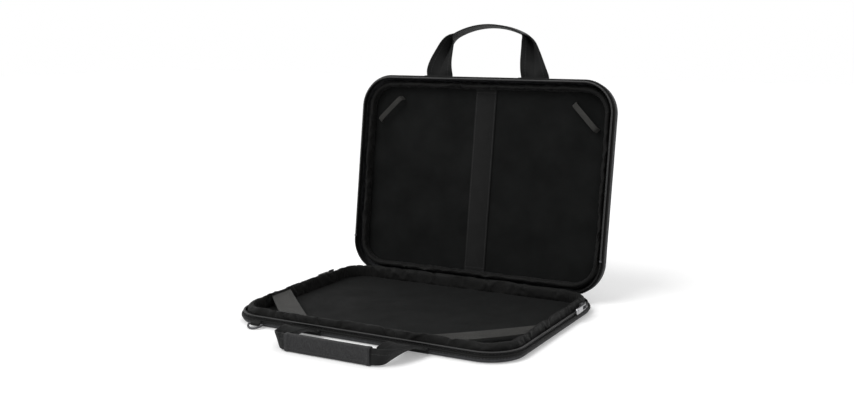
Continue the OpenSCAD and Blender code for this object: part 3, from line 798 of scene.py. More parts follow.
def tray_cover(m, rim, edge):
    """A tray's outer cloth, which lies slightly slack over its shell."""

    def slack(s, i, z):
        x, y, _, _ = m.place(s)
        return 0.12 * rough(x, y, z, 17), 0

    def level(x, y):
        return 0.0

    shape = Shape()
    sweep(shape, m, rim_profile(rim, edge), wobble=slack)
    plate(shape, m, edge, 4, level)
    return shape


def rim_binding(m, top, low):
    """The tape that binds a rim, from its foot outside over the rim to its foot inside."""
    line = [(0.15, low), (0.5, low + 0.1), (0.6, low + 1), (0.6, top - 1), (0.3, top - 0.1)]
    line += [(-0.5, top + 0.25), (-1.6, top + 0.3), (-2.4, top + 0.1), (-2.6, top - 1.0)]
    shape = Shape()
    sweep(shape, m, line)
    return shape


def shell_stitches(m, low, inset):
    """Stitches along the foot of the rim's binding, and round the outer face."""
    shape = Shape()
    ring_stitches(shape, m, 0.62, low + 0.9)
    ring_stitches(shape, m, -inset, 0.0, (0, 0, -1))
    return shape


class CASE_OT_base_shell(bpy.types.Operator):
    """Build the base's moulded shell in its cover, with its bound rim and seams"""

    bl_idname = "case.base_shell"
    bl_label = "Base shell"

    def execute(self, context):
        m = Measures(context)
        rim, low = m.base_rim, m.base_rim - 3.4
        cover = tray_cover(m, rim, BASE_EDGE)
        add_piece(cover, "base_cover", "Outer cloth", "base", "shell_fabric", "base_shell")
        add_piece(rim_binding(m, rim, low), "base_rim_binding", "Binding tape", "base", "webbing")
        seams = shell_stitches(m, low, 9.5)
        add_piece(seams, "base_seam_stitches", "Thread", "base", "shell_fabric")
        return {"FINISHED"}


class CASE_OT_lid_shell(bpy.types.Operator):
    """Build the lid's moulded shell in its cover, with its bound rim, piping and seams"""

    bl_idname = "case.lid_shell"
    bl_label = "Lid shell"

    def execute(self, context):
        m = Measures(context)
        change = m.turned_over(m.height)
        rim = m.height - m.lid_rim
        low = rim - 3.6
        cover = tray_cover(m, rim, LID_EDGE)
        add_piece(cover, "lid_cover", "Outer cloth", "lid", "shell_fabric", "lid_shell", change=change)
        binding = rim_binding(m, rim, low)
        add_piece(binding, "lid_rim_binding", "Binding tape", "lid", "webbing", change=change)
        piping = Shape()
        cord = [(-9.6 + u, -0.1 + z) for u, z in round_section(1.05, 0.95, 10)]
        sweep(piping, m, cord, closed_profile=True)
        add_piece(piping, "lid_piping_cord", "Binding tape", "lid", "webbing", "lid_piping", change=change)
        seams = shell_stitches(m, low, 7.9)
        add_piece(seams, "lid_seam_stitches", "Thread", "lid", "shell_fabric", change=change)
        return {"FINISHED"}


class CASE_OT_linings(bpy.types.Operator):
    """Lay the knit linings over the boards of the base and the lid"""

    bl_idname = "case.linings"
    bl_label = "Linings"

    def execute(self, context):
        m = Measures(context)
        for side, level, inset, swell in (("base", 4.55, 3.8, 0.22), ("lid", 32.65, 5.8, -0.22)):

            def height(x, y):
                return level + swell * rough(x, y, level, 38)

            shape = Shape()
            plate(shape, m, inset, 5, height)
            change = m.opening(side)
            name = f"{side}_lining"
            made = add_piece(shape, name, "Lining knit", side, "lining", f"{side}_liner", change=change)
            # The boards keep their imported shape, under the linings that they are wrapped in.
            finish_node(f"{side}_board", "Lining knit")
        return {"FINISHED"}


def roll_profile(m, foot, height):
    """A padded roll's section, from its foot outside round the top to its foot inside."""
    outer, inner = -ROLL_INSET - ROLL_SLACK, -ROLL_INSET - m.roll_w + ROLL_SLACK
    middle, half = (outer + inner) / 2, (outer - inner) / 2
    squareness = 2.6
    low = foot + (height - foot) * 0.1
    line = [(outer - 0.5, foot - 0.3)]
    for i in range(19):
        a = math.pi * i / 18
        across = math.copysign(abs(math.cos(a)) ** (2 / squareness), math.cos(a)) * half
        up = max(0, math.sin(a)) ** (2 / squareness)
        line.append((middle + across, low + (height - low) * up))
    return line + [(inner + 0.5, foot - 0.3)]


def fill_cover(made, held, spare, reach):
    """Fills a padded piece by simulation: its cover, cut longer by the spare share, swells and
    puckers between the held seams. No point moves further than reach, in metres."""
    sewn = made.vertex_groups.new(name="Sewn")
    sewn.add(held, 1, "REPLACE")
    filling = made.modifiers.new("Filling", "CLOTH")
    settings = filling.settings
    settings.quality = 5
    settings.use_pressure = True
    settings.uniform_pressure_force = 4
    settings.shrink_min = -spare
    settings.vertex_group_mass = sewn.name
    settings.effector_weights.gravity = 0
    filling.collision_settings.use_collision = False
    filling.point_cache.frame_end = FILL_STEPS
    for step in range(1, FILL_STEPS + 1):
        bpy.context.scene.frame_set(step)
    filled = made.evaluated_get(bpy.context.evaluated_depsgraph_get())
    goals = [v.co.copy() for v in filled.data.vertices]
    made.modifiers.remove(filling)
    made.vertex_groups.clear()
    for vertex, goal in zip(made.data.vertices, goals):
        move = goal - vertex.co
        if move.length > reach:
            move.length = reach
        vertex.co += move
    made.data.update()
    bpy.context.scene.frame_set(1)


class CASE_OT_rolls(bpy.types.Operator):
    """Build the padded rolls inside both rims, and fill them so that their covers pucker"""

    bl_idname = "case.rolls"
    bl_label = "Padded rolls"

    def execute(self, context):
        m = Measures(context)
        for side, foot, top, change in (
            ("base", 4.8, 20.0, None),
            ("lid", 0.0, 11.8, m.turned_over(LID_FLOOR)),
        ):
            profile = roll_profile(m, foot, top - ROLL_SLACK)
            count = len(profile)

            def crumple(s, i, z):
                x, y, nx, ny = m.place(s)
                bent = abs(nx * ny) * 2
                share = math.sin(math.pi * i / (count - 1))
                inside = smooth((i - 9) / 8)
                fold = math.sin(s * math.tau / 6.2 + rough(x, y, 0, 20) * 5)
                du = 0.22 * rough(x, y, z, 9) * share - 0.40 * bent * inside * max(0, fold)
                dz = 0.30 * rough(x, y, 50, 16) * share - 0.12 * bent * max(0, fold) * share
                return du, dz

            shape = Shape()
            sweep(shape, m, profile, step=2, wobble=crumple)
            made = shape.build(f"{side}_padded_roll", "Roll cover", change)
            held = [v.index for v in made.data.vertices if v.index % count in (0, count - 1)]
            fill_cover(made, held, 0.05, 1.3 * ROLL_SLACK * MM)
            finish_piece(made, side, "lining", f"{side}_roll")
        return {"FINISHED"}


# ---------------------------------------------------------------- stage and camera


def seen_directly(g):
    """1 for rays from the camera and those that metal or glass sends on, and otherwise 0."""
    rays = g.tree.nodes.new("ShaderNodeLightPath").outputs
    seen = g.math("MAXIMUM", rays["Is Camera Ray"], rays["Is Glossy Ray"])
    return g.math("MAXIMUM", seen, rays["Is Transmission Ray"])


def add_camera(scene):
    """A camera to the right of the handle side and a little above it."""
    target, distance = Vector((0, 0.06, 0.09)), 1.251
    azimuth, elevation = math.radians(28.14), math.radians(11.1)
    level = math.cos(elevation)
    back = Vector((math.sin(azimuth) * level, -math.cos(azimuth) * level, math.sin(elevation)))
    across = Vector((math.cos(azimuth), math.sin(azimuth), 0))
    turn = Matrix((across, back.cross(across), back)).transposed()
    data = bpy.data.cameras.new("View")
    data.lens = 42.9
    data.sensor_width = 36
    data.shift_x = -0.0176
    data.shift_y = 0.0313
    camera = bpy.data.objects.new("View", data)
    camera.matrix_world = Matrix.Translation(target + back * distance) @ turn.to_4x4()
    scene.collection.objects.link(camera)
    scene.camera = camera


def add_floor(scene):
    """A plain pale floor just under the case, which shows nearly white and takes its shadow."""
    reach = 6
    mesh = bpy.data.meshes.new("Floor")
    corners = [(x * reach, y * reach, 0) for x, y in ((-1, -1), (1, -1), (1, 1), (-1, 1))]
    mesh.from_pydata(corners, [], [(0, 1, 2, 3)])
    floor = bpy.data.objects.new("Floor", mesh)
    floor.location.z = -0.0002
    scene.collection.objects.link(floor)
    g, shader = new_material("Floor")
    colour = (*scene.case_colours.floor, 1)
    set_inputs(shader, {"Base Color": colour, "Roughness": 0.9, "Specular IOR Level": 0.1})
    shader.inputs["Emission Color"].default_value = (1, 1, 1, 1)
    g.join(g.math("MULTIPLY", seen_directly(g), 0.26), shader.inputs["Emission Strength"])
    mesh.materials.append(finish("Floor"))


def add_sky(scene):
    """An even sky, which is white where it is seen and lights the case at half that strength."""
    scene.world = bpy.data.worlds.new("Studio")
    scene.world.use_nodes = True
    g = Graph(scene.world.node_tree)
    background = scene.world.node_tree.nodes["Background"]
    g.join(g.fade(seen_directly(g), 0.0, 1.0, 0.5, 1.0), background.inputs["Strength"])
    background.inputs["Color"].default_value = (1, 1, 1, 1)


def add_lamps(scene):
    """A broad window light, a strip at the right and a soft light above, all aimed at the case."""
    aim = Vector((0, 0.03, 0.1))
    window = bpy.data.lights.new("Window", "SUN")
    window.energy = 1.55
    window.angle = math.radians(38)
    lamps = [(window, Vector((-0.55, -0.8, 1.25)))]
    for name, spot, watts, size in (
        ("Strip", (1.3, -0.9, 0.7), 2.5, 0.5),
        ("Top", (-0.1, 0.5, 1.3), 3.5, 0.9),
    ):
        light = bpy.data.lights.new(name, "AREA")
        light.energy = watts
        light.size = size
        lamps.append((light, Vector(spot)))
    for light, spot in lamps:
        lamp = bpy.data.objects.new(light.name, light)
        lamp.location = spot
        lamp.rotation_euler = (spot - aim).to_track_quat("Z", "Y").to_euler()
        scene.collection.objects.link(lamp)


class CASE_OT_stage(bpy.types.Operator):
    """Set the camera, the plain pale floor and the soft studio light"""

    bl_idname = "case.stage"
    bl_label = "Stage"

    def execute(self, context):
        scene = context.scene
        scene.view_settings.view_transform = "Standard"
        add_camera(scene)
        add_floor(scene)
        add_sky(scene)
        add_lamps(scene)
        return {"FINISHED"}


# ---------------------------------------------------------------- zip


def teeth(m, low, high):
    """One zip coil as separate turns of nylon round a core, from its low to its high edge."""
    shape = Shape()
    start, end = m.zip_span(ZIP_END)
    section = box_section(TEETH_DEPTH, high - low, 0.7, 1)
    middle = (low + high) / 2
    for s in spread(start + 0.6, end - 0.6, m.tooth):
        x, y, nx, ny = m.place(s)
        out, run = Vector((nx, ny, 0)), Vector((ny, -nx, 0))
        centre = Vector((x, y, middle)) + out * -TEETH_INSET
        path = []
        for along, size in ((-0.36, 0.72), (-0.18, 1), (0.18, 1), (0.36, 0.72)):
            path.append((centre + run * along * m.tooth, out * size, UP * size))
        shape.tube(path, section)
    core = [(u - TEETH_INSET, middle + z) for u, z in box_section(1.7, high - low - 0.5, 0.3, 1)]
    sweep(shape, m, core, span=(start, end), closed_profile=True)
    return shape


class CASE_OT_zip(bpy.types.Operator):
    """Build the zip's two tapes, their coils of teeth and the stops at the ends"""

    bl_idname = "case.zip"
    bl_label = "Zip"

    def execute(self, context):
        m = Measures(context)
        for side, low, high, coil_low, coil_high, seam in (
            ("base", 6.0, 10.3, 10.2, 12.5, 9.4),
            ("lid", 16.9, 23.0, 14.7, 17.0, 17.9),
        ):
            change = m.opening(side)
            tape = Shape()
            profile = [(-3.2, low), (-2.4, low), (-2.4, high), (-3.2, high)]
            sweep(tape, m, profile, closed_profile=True)
            name, node = f"{side}_woven_tape", f"{side}_zip_tape"
            add_piece(tape, name, "Binding tape", side, "tape", node, change=change)
            coil = teeth(m, coil_low, coil_high)
            name, node = f"{side}_teeth", f"{side}_zip_coil"
            add_piece(coil, name, "Zip teeth", side, "zip_coil", node, change=change)
            stitches = Shape()
            ring_stitches(stitches, m, -2.38, seam)
            add_piece(stitches, f"{side}_tape_stitches", "Thread", side, "tape", change=change)
            dressed_copy(f"{side}_zip_stops", "Slider metal", "dark_metal", 0.35)
        return {"FINISHED"}


def dressed_copy(node, material, slot, round_mm):
    """Stands a copy of a frame piece with rounded edges in its place."""
    source = frame["nodes"][node]
    mesh = source.data.copy()
    mesh.materials.clear()
    mesh.materials.append(finish(material))
    edit = bmesh.new()
    edit.from_mesh(mesh)
    bmesh.ops.remove_doubles(edit, verts=edit.verts, dist=1e-6)
    bmesh.ops.dissolve_limit(
        edit, angle_limit=math.radians(1), verts=edit.verts, edges=edit.edges, delimit={"NORMAL"}
    )
    edit.to_mesh(mesh)
    edit.free()
    made = bpy.data.objects.new(f"{node}_finished", mesh)
    bpy.context.scene.collection.objects.link(made)
    mesh.shade_smooth()
    rounder = made.modifiers.new("Rounded edges", "BEVEL")
    rounder.width = round_mm * MM
    rounder.segments = 2
    rounder.angle_limit = math.radians(25)
    rounder.harden_normals = True
    return finish_piece(made, source["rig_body"], slot, node)


class CASE_OT_spine(bpy.types.Operator):
    """Build the cloth round the hinge side: a fold along the back and bound wings at the corners"""

    bl_idname = "case.spine"
    bl_label = "Spine cloth"

    def execute(self, context):
        m = Measures(context)
        start, end = m.spine_span(SPINE_END)
        straight = m.half_d - m.corner - SPINE_END
        reach = m.corner * math.radians(26)
        back_start, back_end = start + straight + m.arc - reach, end - straight - m.arc + reach
        rows, places = [], spread(back_start, back_end, 4)
        rise = [9.3, 10.2, 11.2, 12.2, 12.9, 13.4]
        for s in places:
            x, y, nx, ny = m.place(s)
            px, py = x - nx * SPINE_INSET, y - ny * SPINE_INSET
            ease = 0.25 * rough(s, 0, 0, 12)
            row = [(px, py + ease * math.sin(i / 2), z) for i, z in enumerate(rise)]
            row += [m.open_lid((px, py, 2 * HINGE.z / MM - z)) for z in rise[::-1]]
            rows.append(row)
        shape = Shape()
        shape.grid(rows, places, lengths(rows[len(rows) // 2]))
        made = shape.build("spine_cloth", "Lining knit")
        thick = made.modifiers.new("Cloth thickness", "SOLIDIFY")
        thick.thickness = 0.7 * MM
        thick.offset = 0
        fold_start, fold_end = (0, HINGE.y, HINGE.z - 0.0008), (0, HINGE.y + 0.0009, HINGE.z)
        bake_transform(made)
        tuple(fold_start)
        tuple(fold_end)
        for side, low, high in (("base", 9.3, 12.8), ("lid", 17.9, 14.4)):
            lip = high + (high - low) * 0.1
            line = [(-3.25, low), (-SPINE_INSET, low), (-SPINE_INSET, high), (-2.8, lip), (-3.25, high)]
            wings = Shape()
            for span in ((start, back_start + 1), (back_end - 1, end)):
                sweep(wings, m, line, span=span, step=3, closed_profile=True)
            name, node, change = f"{side}_spine_wings", f"{side}_gusset", m.opening(side)
            add_piece(wings, name, "Binding tape", side, "lining", node, change=change)
        return {"FINISHED"}


# ---------------------------------------------------------------- straps inside


def band(shape, line, across, ups, width, thick):
    """A flat band along a line of centres, with the way that its face points at each."""
    section = box_section(width, thick, thick * 0.42, 2)
    shape.tube([(p, across, Vector(up).normalized()) for p, up in zip(line, ups)], section)


def corner_strap_rows(m, sign, inner):
    """Rows of points round a base corner strap, each across it, from the handle side to the side."""
    side_a, side_b = (m.half_w - inner, -28), (m.half_w - inner, -64)
    front_a, front_b = (76, -m.half_d + inner), (114, -m.half_d + inner)
    shares = [k / STRAP_COLUMNS for k in range(STRAP_COLUMNS + 1)]
    section = [(share, 16.8) for share in shares] + [(share, 15.7) for share in shares[::-1]]
    rows = []
    for i in range(STRAP_ROWS + 1):
        t = i / STRAP_ROWS
        near = (mix(front_a[0] - 1.5, side_a[0] + 2, t), mix(front_a[1] - 2, side_a[1] + 1, t))
        far = (mix(front_b[0] - 0.5, side_b[0] + 1.5, t), mix(front_b[1] - 2, side_b[1] - 0.5, t))
        dip = -0.7 * math.sin(math.pi * t)
        row = []
        for share, level in section:
            crown = 0.2 * math.sin(math.pi * share)
            x, y = mix(near[0], far[0], share), mix(near[1], far[1], share)
            row.append((sign * x, y, level + dip + crown))
        rows.append(row)
    return rows


def add_corner_strap(m, name, sign, inner):
    """An elastic strap over one of the base's front corners, with its stitches."""
    rows = corner_strap_rows(m, sign, inner)
    down = [i / STRAP_ROWS * STRAP_LENGTH for i in range(len(rows))]
    middle = rows[STRAP_ROWS // 2]
    shape, seam = Shape(), Shape()
    shape.grid(rows, down, lengths(middle + middle[:1]), round_cols=True)
    node = f"base_corner_strap_{name}"
    add_piece(shape, f"base_corner_elastic_{name}", "Elastic", "base", "elastic", node)
    for share in (0.08, 0.92):
        crown = Vector((0, 0, 0.2 * math.sin(math.pi * share)))
        line = []
        for row in rows:
            a, b = Vector(row[0]), Vector(row[STRAP_COLUMNS])
            line.append(a + (b - a) * share + crown)
        stitch_row(seam, line, UP, m)
    for n in (2, STRAP_ROWS - 2):
        stitch_row(seam, rows[n][: STRAP_COLUMNS + 1], UP, m)
    add_piece(seam, f"base_corner_elastic_stitches_{name}", "Thread", "base", "elastic")


def add_centre_strap(m, inner):
    """The band down the middle of the lid, with its stitches."""
    shape, seam = Shape(), Shape()
    reach = m.half_d - inner
    places = spread(-reach - 1.5, reach + 1.5, 5)
    line = [(0, y, 31.9 - 0.35 * rough(0, y, 3, 30)) for y in places]
    band(shape, line, RIGHT, [-UP] * len(line), 30, 1.2)
    node = "lid_center_strap"
    add_piece(shape, "lid_centre_webbing", "Centre strap", "lid", "elastic", node, change=m.open_lid)
    for x in (-13, 13):
        stitch_row(seam, [(x, y, z - 0.55) for _, y, z in line], -UP, m)
    for y in (-reach + 4, reach - 4):
        stitch_row(seam, [(x, y, 31.35) for x in spread(-13, 13, 3)], -UP, m)
    add_piece(seam, "lid_centre_webbing_stitches", "Thread", "lid", "elastic", change=m.open_lid)


def add_corner_loop(m, name, sign):
    """An elastic loop across one of the lid's corners, sewn down at both ends."""
    middle = Vector((sign * (m.half_w - 40), -m.half_d + 45, LID_FLOOR))
    along = Vector((1, sign, 0)).normalized()
    across = UP.cross(along).normalized()
    outline = [(-23.2, 0.3), (-22.6, 2), (-22.4, 5.2), (-21.6, 7.6)]
    outline += [(-19, 8.7), (-12, 8.9), (0, 8.95)]
    outline += [(-a, h) for a, h in outline[-2::-1]]
    path = [middle + along * a - UP * h for a, h in outline]
    ups = [run_at(path, n).cross(across) for n in range(len(path))]
    shape = Shape()
    band(shape, path, across, ups, 7, 1.1)
    made = shape.build(f"lid_corner_elastic_{name}", "Elastic", m.open_lid)
    soften(made)
    finish_piece(made, "lid", "elastic", f"lid_corner_loop_{name}")


class CASE_OT_inner_straps(bpy.types.Operator):
    """Build the elastic corner straps, the lid's centre strap and its two corner loops"""

    bl_idname = "case.inner_straps"
    bl_label = "Inner straps"

    def execute(self, context):
        m = Measures(context)
        inner = ROLL_INSET + m.roll_w
        sides = (("right", 1), ("left", -1))
        for name, sign in sides:
            add_corner_strap(m, name, sign, inner)
        add_centre_strap(m, inner)
        for name, sign in sides:
            add_corner_loop(m, name, sign)
        return {"FINISHED"}


# ---------------------------------------------------------------- pockets on the outer face


def pocket_lift(m, x, y):
    """How far the lower pocket's cloth stands off the face, most at the middle of its mouth."""
    mouth_y = -m.half_d + (LOWER_MOUTH[0] + LOWER_MOUTH[1]) / 2
    reach = m.half_w - 19.1
    open_share = 1 - (x / reach) ** 2
    fall = (y - mouth_y) / 120
    raw = m.bulge * (open_share - fall)
    return 0.5 * (raw + math.sqrt(raw * raw + 1.2)) - 0.15


def pocket_cloth(m, mouth, bottom, stands_open):
    """A pocket's cloth with its turned hem, as a closed sheet, and the rows of its outer side.
    A row runs from the pocket's mouth down to its foot."""
    wide = m.half_w - POCKET_INSET
    columns = spread(-wide + 0.4, wide - 0.4, 4.5)
    shares = [0, 0.006, 0.02, 0.04, 0.055, 0.07, 0.1] + [0.1 + 0.9 * k / 26 for k in range(1, 27)]
    front, rear = [], []
    for x in columns:
        t = (x + m.half_w) / (2 * m.half_w)
        mouth_y = -m.half_d + mix(mouth[1], mouth[0], t)
        end_y = m.plan_edge(x, POCKET_INSET)
        line, under = [], []
        for share in shares:
            y = mix(mouth_y, end_y, share)
            free = smooth(min(1, (wide - abs(x)) / 10, (end_y - y) / 10))
            lift = pocket_lift(m, x, y) * free if stands_open else 0
            level = bottom + lift + 0.28 * rough(x, y, 5, 34) * free
            fold = POCKET_THICK / 2 if y - mouth_y < HEM and share > 0 else 0
            line.append((x, y, level + POCKET_THICK + fold))
            under.append((x, y, level if share else level + POCKET_THICK / 2))
        front.append(line)
        rear.append(under)
    rows = [front_row + rear_row[::-1] for front_row, rear_row in zip(front, rear)]
    across = lengths([(0, p[1], p[2]) for p in front[len(front) // 2]])
    flat = across + [across[-1] + POCKET_THICK + a for a in across]
    flat.append(2 * across[-1] + 2 * POCKET_THICK)
    shape = Shape()
    shape.grid(rows, columns, flat, round_cols=True)
    shape.close_ends(rows)
    return shape, front


def row_line(front, offset):
    """A line across a pocket's cloth, at an offset in millimetres from its mouth."""
    line = []
    for row in front:
        start = Vector(row[0])
        n = 0
        while n < len(row) - 2 and (Vector(row[n + 1]) - start).length < offset:
            n += 1
        a, b = Vector(row[n]), Vector(row[n + 1])
        span = max(1e-6, (b - a).length)
        share = min(1, max(0, (offset - (a - start).length) / span))
        line.append(a + (b - a) * share)
    return line


class CASE_OT_pockets(bpy.types.Operator):
    """Build the two slanted pockets on the lid's outer face, with hems and stitches"""

    bl_idname = "case.pockets"
    bl_label = "Pockets"

    def execute(self, context):
        m = Measures(context)
        bodies = frame["record"]["behaviour"]["bodies"]
        for node, mouth, bottom, stands_open in (
            ("middle_pocket", MIDDLE_MOUTH, m.height, False),
            ("lower_pocket", LOWER_MOUTH, m.height + POCKET_LAP, True),
        ):
            body = next(name for name, nodes in bodies.items() if node in nodes)
            shape, front = pocket_cloth(m, mouth, bottom, stands_open)
            made = shape.build(f"{node}_cloth", "Pocket cloth", m.open_lid)
            finish_piece(made, body, "pocket_fabric", node)
            deep = (2 * m.half_d - POCKET_INSET - min(mouth)) * MM
            seam = Shape()
            for offset in (1.6, HEM - 1):
                stitch_row(seam, row_line(front, offset), UP, m)
            foot = [Vector(row[-1]) + Vector((0, -1.6, 0.05)) for row in front]
            stitch_row(seam, foot, UP, m)
            add_piece(seam, f"{node}_stitches", "Thread", body, "pocket_fabric", change=m.open_lid)
        return {"FINISHED"}


class CASE_OT_stud(bpy.types.Operator):
    """Build the plain round stud on the outer face"""

    bl_idname = "case.stud"
    bl_label = "Stud"

    def execute(self, context):
        m = Measures(context)
        centre_x, centre_y, radius, count = 150, -100, 5, 40
        line = [(0, 1.45), (1.5, 1.42), (3, 1.3), (3.8, 1.12), (4.1, 0.95)]
        line += [(4.35, 0.95), (4.7, 1.02), (4.95, 0.8), (radius, 0.4), (radius, -0.2)]
        turns = [math.tau * i / count for i in range(count + 1)]
        rows = []
        for a in turns[:-1]:
            c, s = math.cos(a), math.sin(a)
            rows.append([(centre_x + r * c, centre_y + r * s, m.height + h) for r, h in line])
        shape = Shape()
        across = lengths([(*p, 0) for p in line])
        shape.grid(rows, [radius * a for a in turns], across, round_rows=True)
        names = ("face_stud_cap", "Stud metal", "lid", "stud_metal", "face_stud")
        add_piece(shape, *names, change=m.open_lid)
        return {"FINISHED"}


# ---------------------------------------------------------------- handles


def folded_section(width, thick, turn, bend, squeeze):
    """A strap's section, folded along its middle by the same turn on both sides.
    It gives outer and inner points from one edge to the other, and the outer directions."""
    outer, inner, out = [], [], []
    for k in range(-HALF_SECTION, HALF_SECTION + 1):
        c = math.copysign((abs(k) / HALF_SECTION) ** 1.35, k) * width / 2
        reach, sign = abs(c), (1 if k >= 0 else -1)
        lean = min(turn, reach / bend)
        rest = max(0, reach - bend * turn)
        across = sign * (bend * math.sin(lean) + rest * math.cos(turn))
        deep = (bend * (1 - math.cos(lean)) + rest * math.sin(turn)) * squeeze
        half = thick / 2 * (0.72 if abs(k) == HALF_SECTION else 1)
        way = (sign * math.sin(lean), -math.cos(lean))
        outer.append((across + way[0] * half, deep + way[1] * half))
        inner.append((across - way[0] * half, deep - way[1] * half))
        out.append(way)
    return outer, inner, out


def leg_breadth(t):
    """How broad a leg's folding strap still is, as a share, from its root at 0 to its shoulder at 1.
    It narrows evenly at first and closes near the shoulder."""
    t = min(1, max(0, t))
    return (1 - 0.64 * t**1.3) * math.sqrt(1 - max(0, (t - 0.72) / 0.28) ** 2.4)


def leg_fold(t):
    """The share of its whole fold that a leg's strap has there."""
    return math.acos(leg_breadth(t)) / math.radians(90)


def grip_line():
    """The base handle's stations, with a straight grip for its sleeve: place across, distance out,
    level of the fold and share of the folding."""
    end_x, leg, bend_r, level, drop, shoulder = 64, 45, 10, 7.3, -5.2, 56
    half = [(mix(LEG_X, end_x, smooth(t)), t * leg) for t in spread(0, 1, 1 / 18)]
    for k in range(1, 17):
        a = math.pi / 2 * k / 16
        half.append((end_x - (1 - math.cos(a)) * bend_r, leg + bend_r * math.sin(a)))
    half += [(x, leg + bend_r) for x in spread(end_x - bend_r, 0, 4)[1:]]
    gone = lengths([(x, out, 0) for x, out in half])
    whole = []
    for (x, out), far in zip(half, gone):
        fold = leg_fold((far - 3) / (shoulder - 3))
        whole.append((x, out, level + drop * smooth(far / shoulder), fold))
    return whole + [(-x, *rest) for x, *rest in whole[-2::-1]]


def arch_line(m):
    """The lid handle's stations: broad legs that fold at a shoulder into a thin, shallow arch."""
    inner_x, shoulder, top, level, rise = 49.5, 53, 65.5, 27.0, 12.4
    half = []
    for t in spread(0, 1, 1 / 24):
        far = (t * shoulder - 2) / (shoulder - 2)
        broad = max(1.6, m.web_w / 2 * leg_breadth(far))
        half.append((inner_x - 1.2 * t + broad, t * shoulder, level + rise * smooth(t), leg_fold(far)))
    end_x, end_out = half[-1][:2]
    radius = (end_x**2 + (top - shoulder) ** 2) / (2 * (top - shoulder))
    lean = math.asin(end_x / radius)
    for k in range(1, 27):
        a = lean * (1 - k / 26)
        out = top - radius * (1 - math.cos(a))
        half.append((radius * math.sin(a), mix(max(out, end_out), out, min(1, k / 4)), level + rise, 1))
    for _ in range(2):
        eased = [half[0]]
        for before, here, after in zip(half, half[1:], half[2:]):
            eased.append(tuple((a + 2 * b + c) / 4 for a, b, c in zip(before, here, after)))
        half = eased + [half[-1]]
    return half + [(-x, *rest) for x, *rest in half[-2::-1]]


def handle_strap(m, stations, upward, bend, squeeze):
    """A handle's strap and its four rows of stitches, lofted through stations."""
    shape, seam = Shape(), Shape()
    rows, stitches, down = [], [[], [], [], []], [0]
    deep = UP * upward
    left, right = SEAM_POINT, 2 * HALF_SECTION - SEAM_POINT
    root, tail = stations[0], stations[-1]
    stations = [(root[0], -1.2, *root[2:]), *stations, (tail[0], -1.2, *tail[2:])]
    for n, (x, out, level, fold) in enumerate(stations):
        a, b = stations[max(0, n - 1)], stations[min(len(stations) - 1, n + 1)]
        run = Vector((b[0] - a[0], a[1] - b[1], 0)).normalized()
        level_side = Vector((math.copysign(1, x), 0, 0))
        side = level_side.lerp(Vector((-run.y, run.x, 0)), fold**3).normalized()
        centre = Vector((x, -m.half_d - HANDLE_OUT - out, level))
        tight = mix(1, squeeze, fold)
        outer, inner, ways = folded_section(m.web_w, m.web_t, FULL_FOLD * fold, bend, tight)
        wave = 0.35 * rough(x, out, 9, 14) * math.sin(math.pi * min(1, fold * 1.2))

        def spot(p):
            return centre + side * (p[0] + wave) + deep * (p[1] + wave * 0.6)

        rows.append([tuple(spot(p)) for p in outer + inner[::-1]])
        # Each row of stitches follows one point of the section, on the outer or the inner side.
        followed = ((outer, right, 1), (outer, left, 1), (inner, right, -1), (inner, left, -1))
        for row, (points, k, sign) in zip(stitches, followed):
            row.append((spot(points[k]), (side * ways[k][0] + deep * ways[k][1]) * sign))
        if n:
            fold_run = Vector(rows[n][HALF_SECTION]) - Vector(rows[n - 1][HALF_SECTION])
            down.append(down[-1] + fold_run.length)
    shape.grid(rows, down, lengths(rows[0] + rows[0][:1]), round_cols=True)
    for row in (rows[0][::-1], rows[-1]):
        first, last = len(shape.points), len(row) - 1
        shape.points.extend(row)
        for k in range(len(row) // 2 - 1):
            corners = (k, k + 1, last - 1 - k, last - k)
            shape.faces.append(tuple(first + c for c in corners))
            shape.cloth.append([row[c][:2] for c in corners])
    for row in stitches:
        stitch_row(seam, [p for p, _ in row], [way for _, way in row], m)
    return shape, seam


def add_sleeve(m):
    """The padded sleeve round the base handle's grip, with its end seams and the seam along it."""
    shape, seam = Shape(), Shape()
    half_l, corner = 53, 2.6
    middle = Vector((0, -m.half_d - SLEEVE_MIDDLE[0], SLEEVE_MIDDLE[1]))
    end = [(-half_l + 5, 6.5, 18.3), (-half_l, 6.5, 18.3), (-half_l, 7.4, 19.2)]
    end += [(-half_l + 0.6, 8.1, 19.8), (-half_l + 4.6, 8.1, 19.8), (-half_l + 5.2, 7.7, 19.5)]
    run = [(x, 7.7, 19.5) for x in spread(-half_l + 9, half_l - 9, 4)]
    rows = []
    for x, wide, deep in end + run + [(-x, w, d) for x, w, d in end[::-1]]:
        soft = 0.16 * rough(x, 3, 8, 11) if abs(x) < half_l - 6 else 0
        section = box_section(wide + soft * 2, deep + soft, corner, 5)
        rows.append([(middle.x + x, middle.y + a, middle.z + b) for a, b in section])
    shape.grid(rows, lengths([row[0] for row in rows]), lengths(rows[8] + rows[8][:1]), round_cols=True)
    names = ("base_grip_sleeve", "Sleeve cloth", "base_handle", "sleeve_fabric", "base_handle_sleeve")
    add_piece(shape, *names)
    for x in (-half_l + 3.2, half_l - 3.2):
        section = box_section(8.15, 19.85, corner, 5)
        ring = [Vector((x, middle.y + a, middle.z + b)) for a, b in section]
        ups = [Vector((0, p.y - middle.y, (p.z - middle.z) * 0.3)) for p in ring]
        stitch_row(seam, ring, ups, m, closed=True)
    across = spread(-half_l + 6, half_l - 6, 4)
    stitch_row(seam, [(x, middle.y - 3.9, middle.z - 5.5) for x in across], (0, -1, 0), m)
    add_piece(seam, "base_grip_sleeve_stitches", "Thread", "base_handle", "sleeve_fabric")


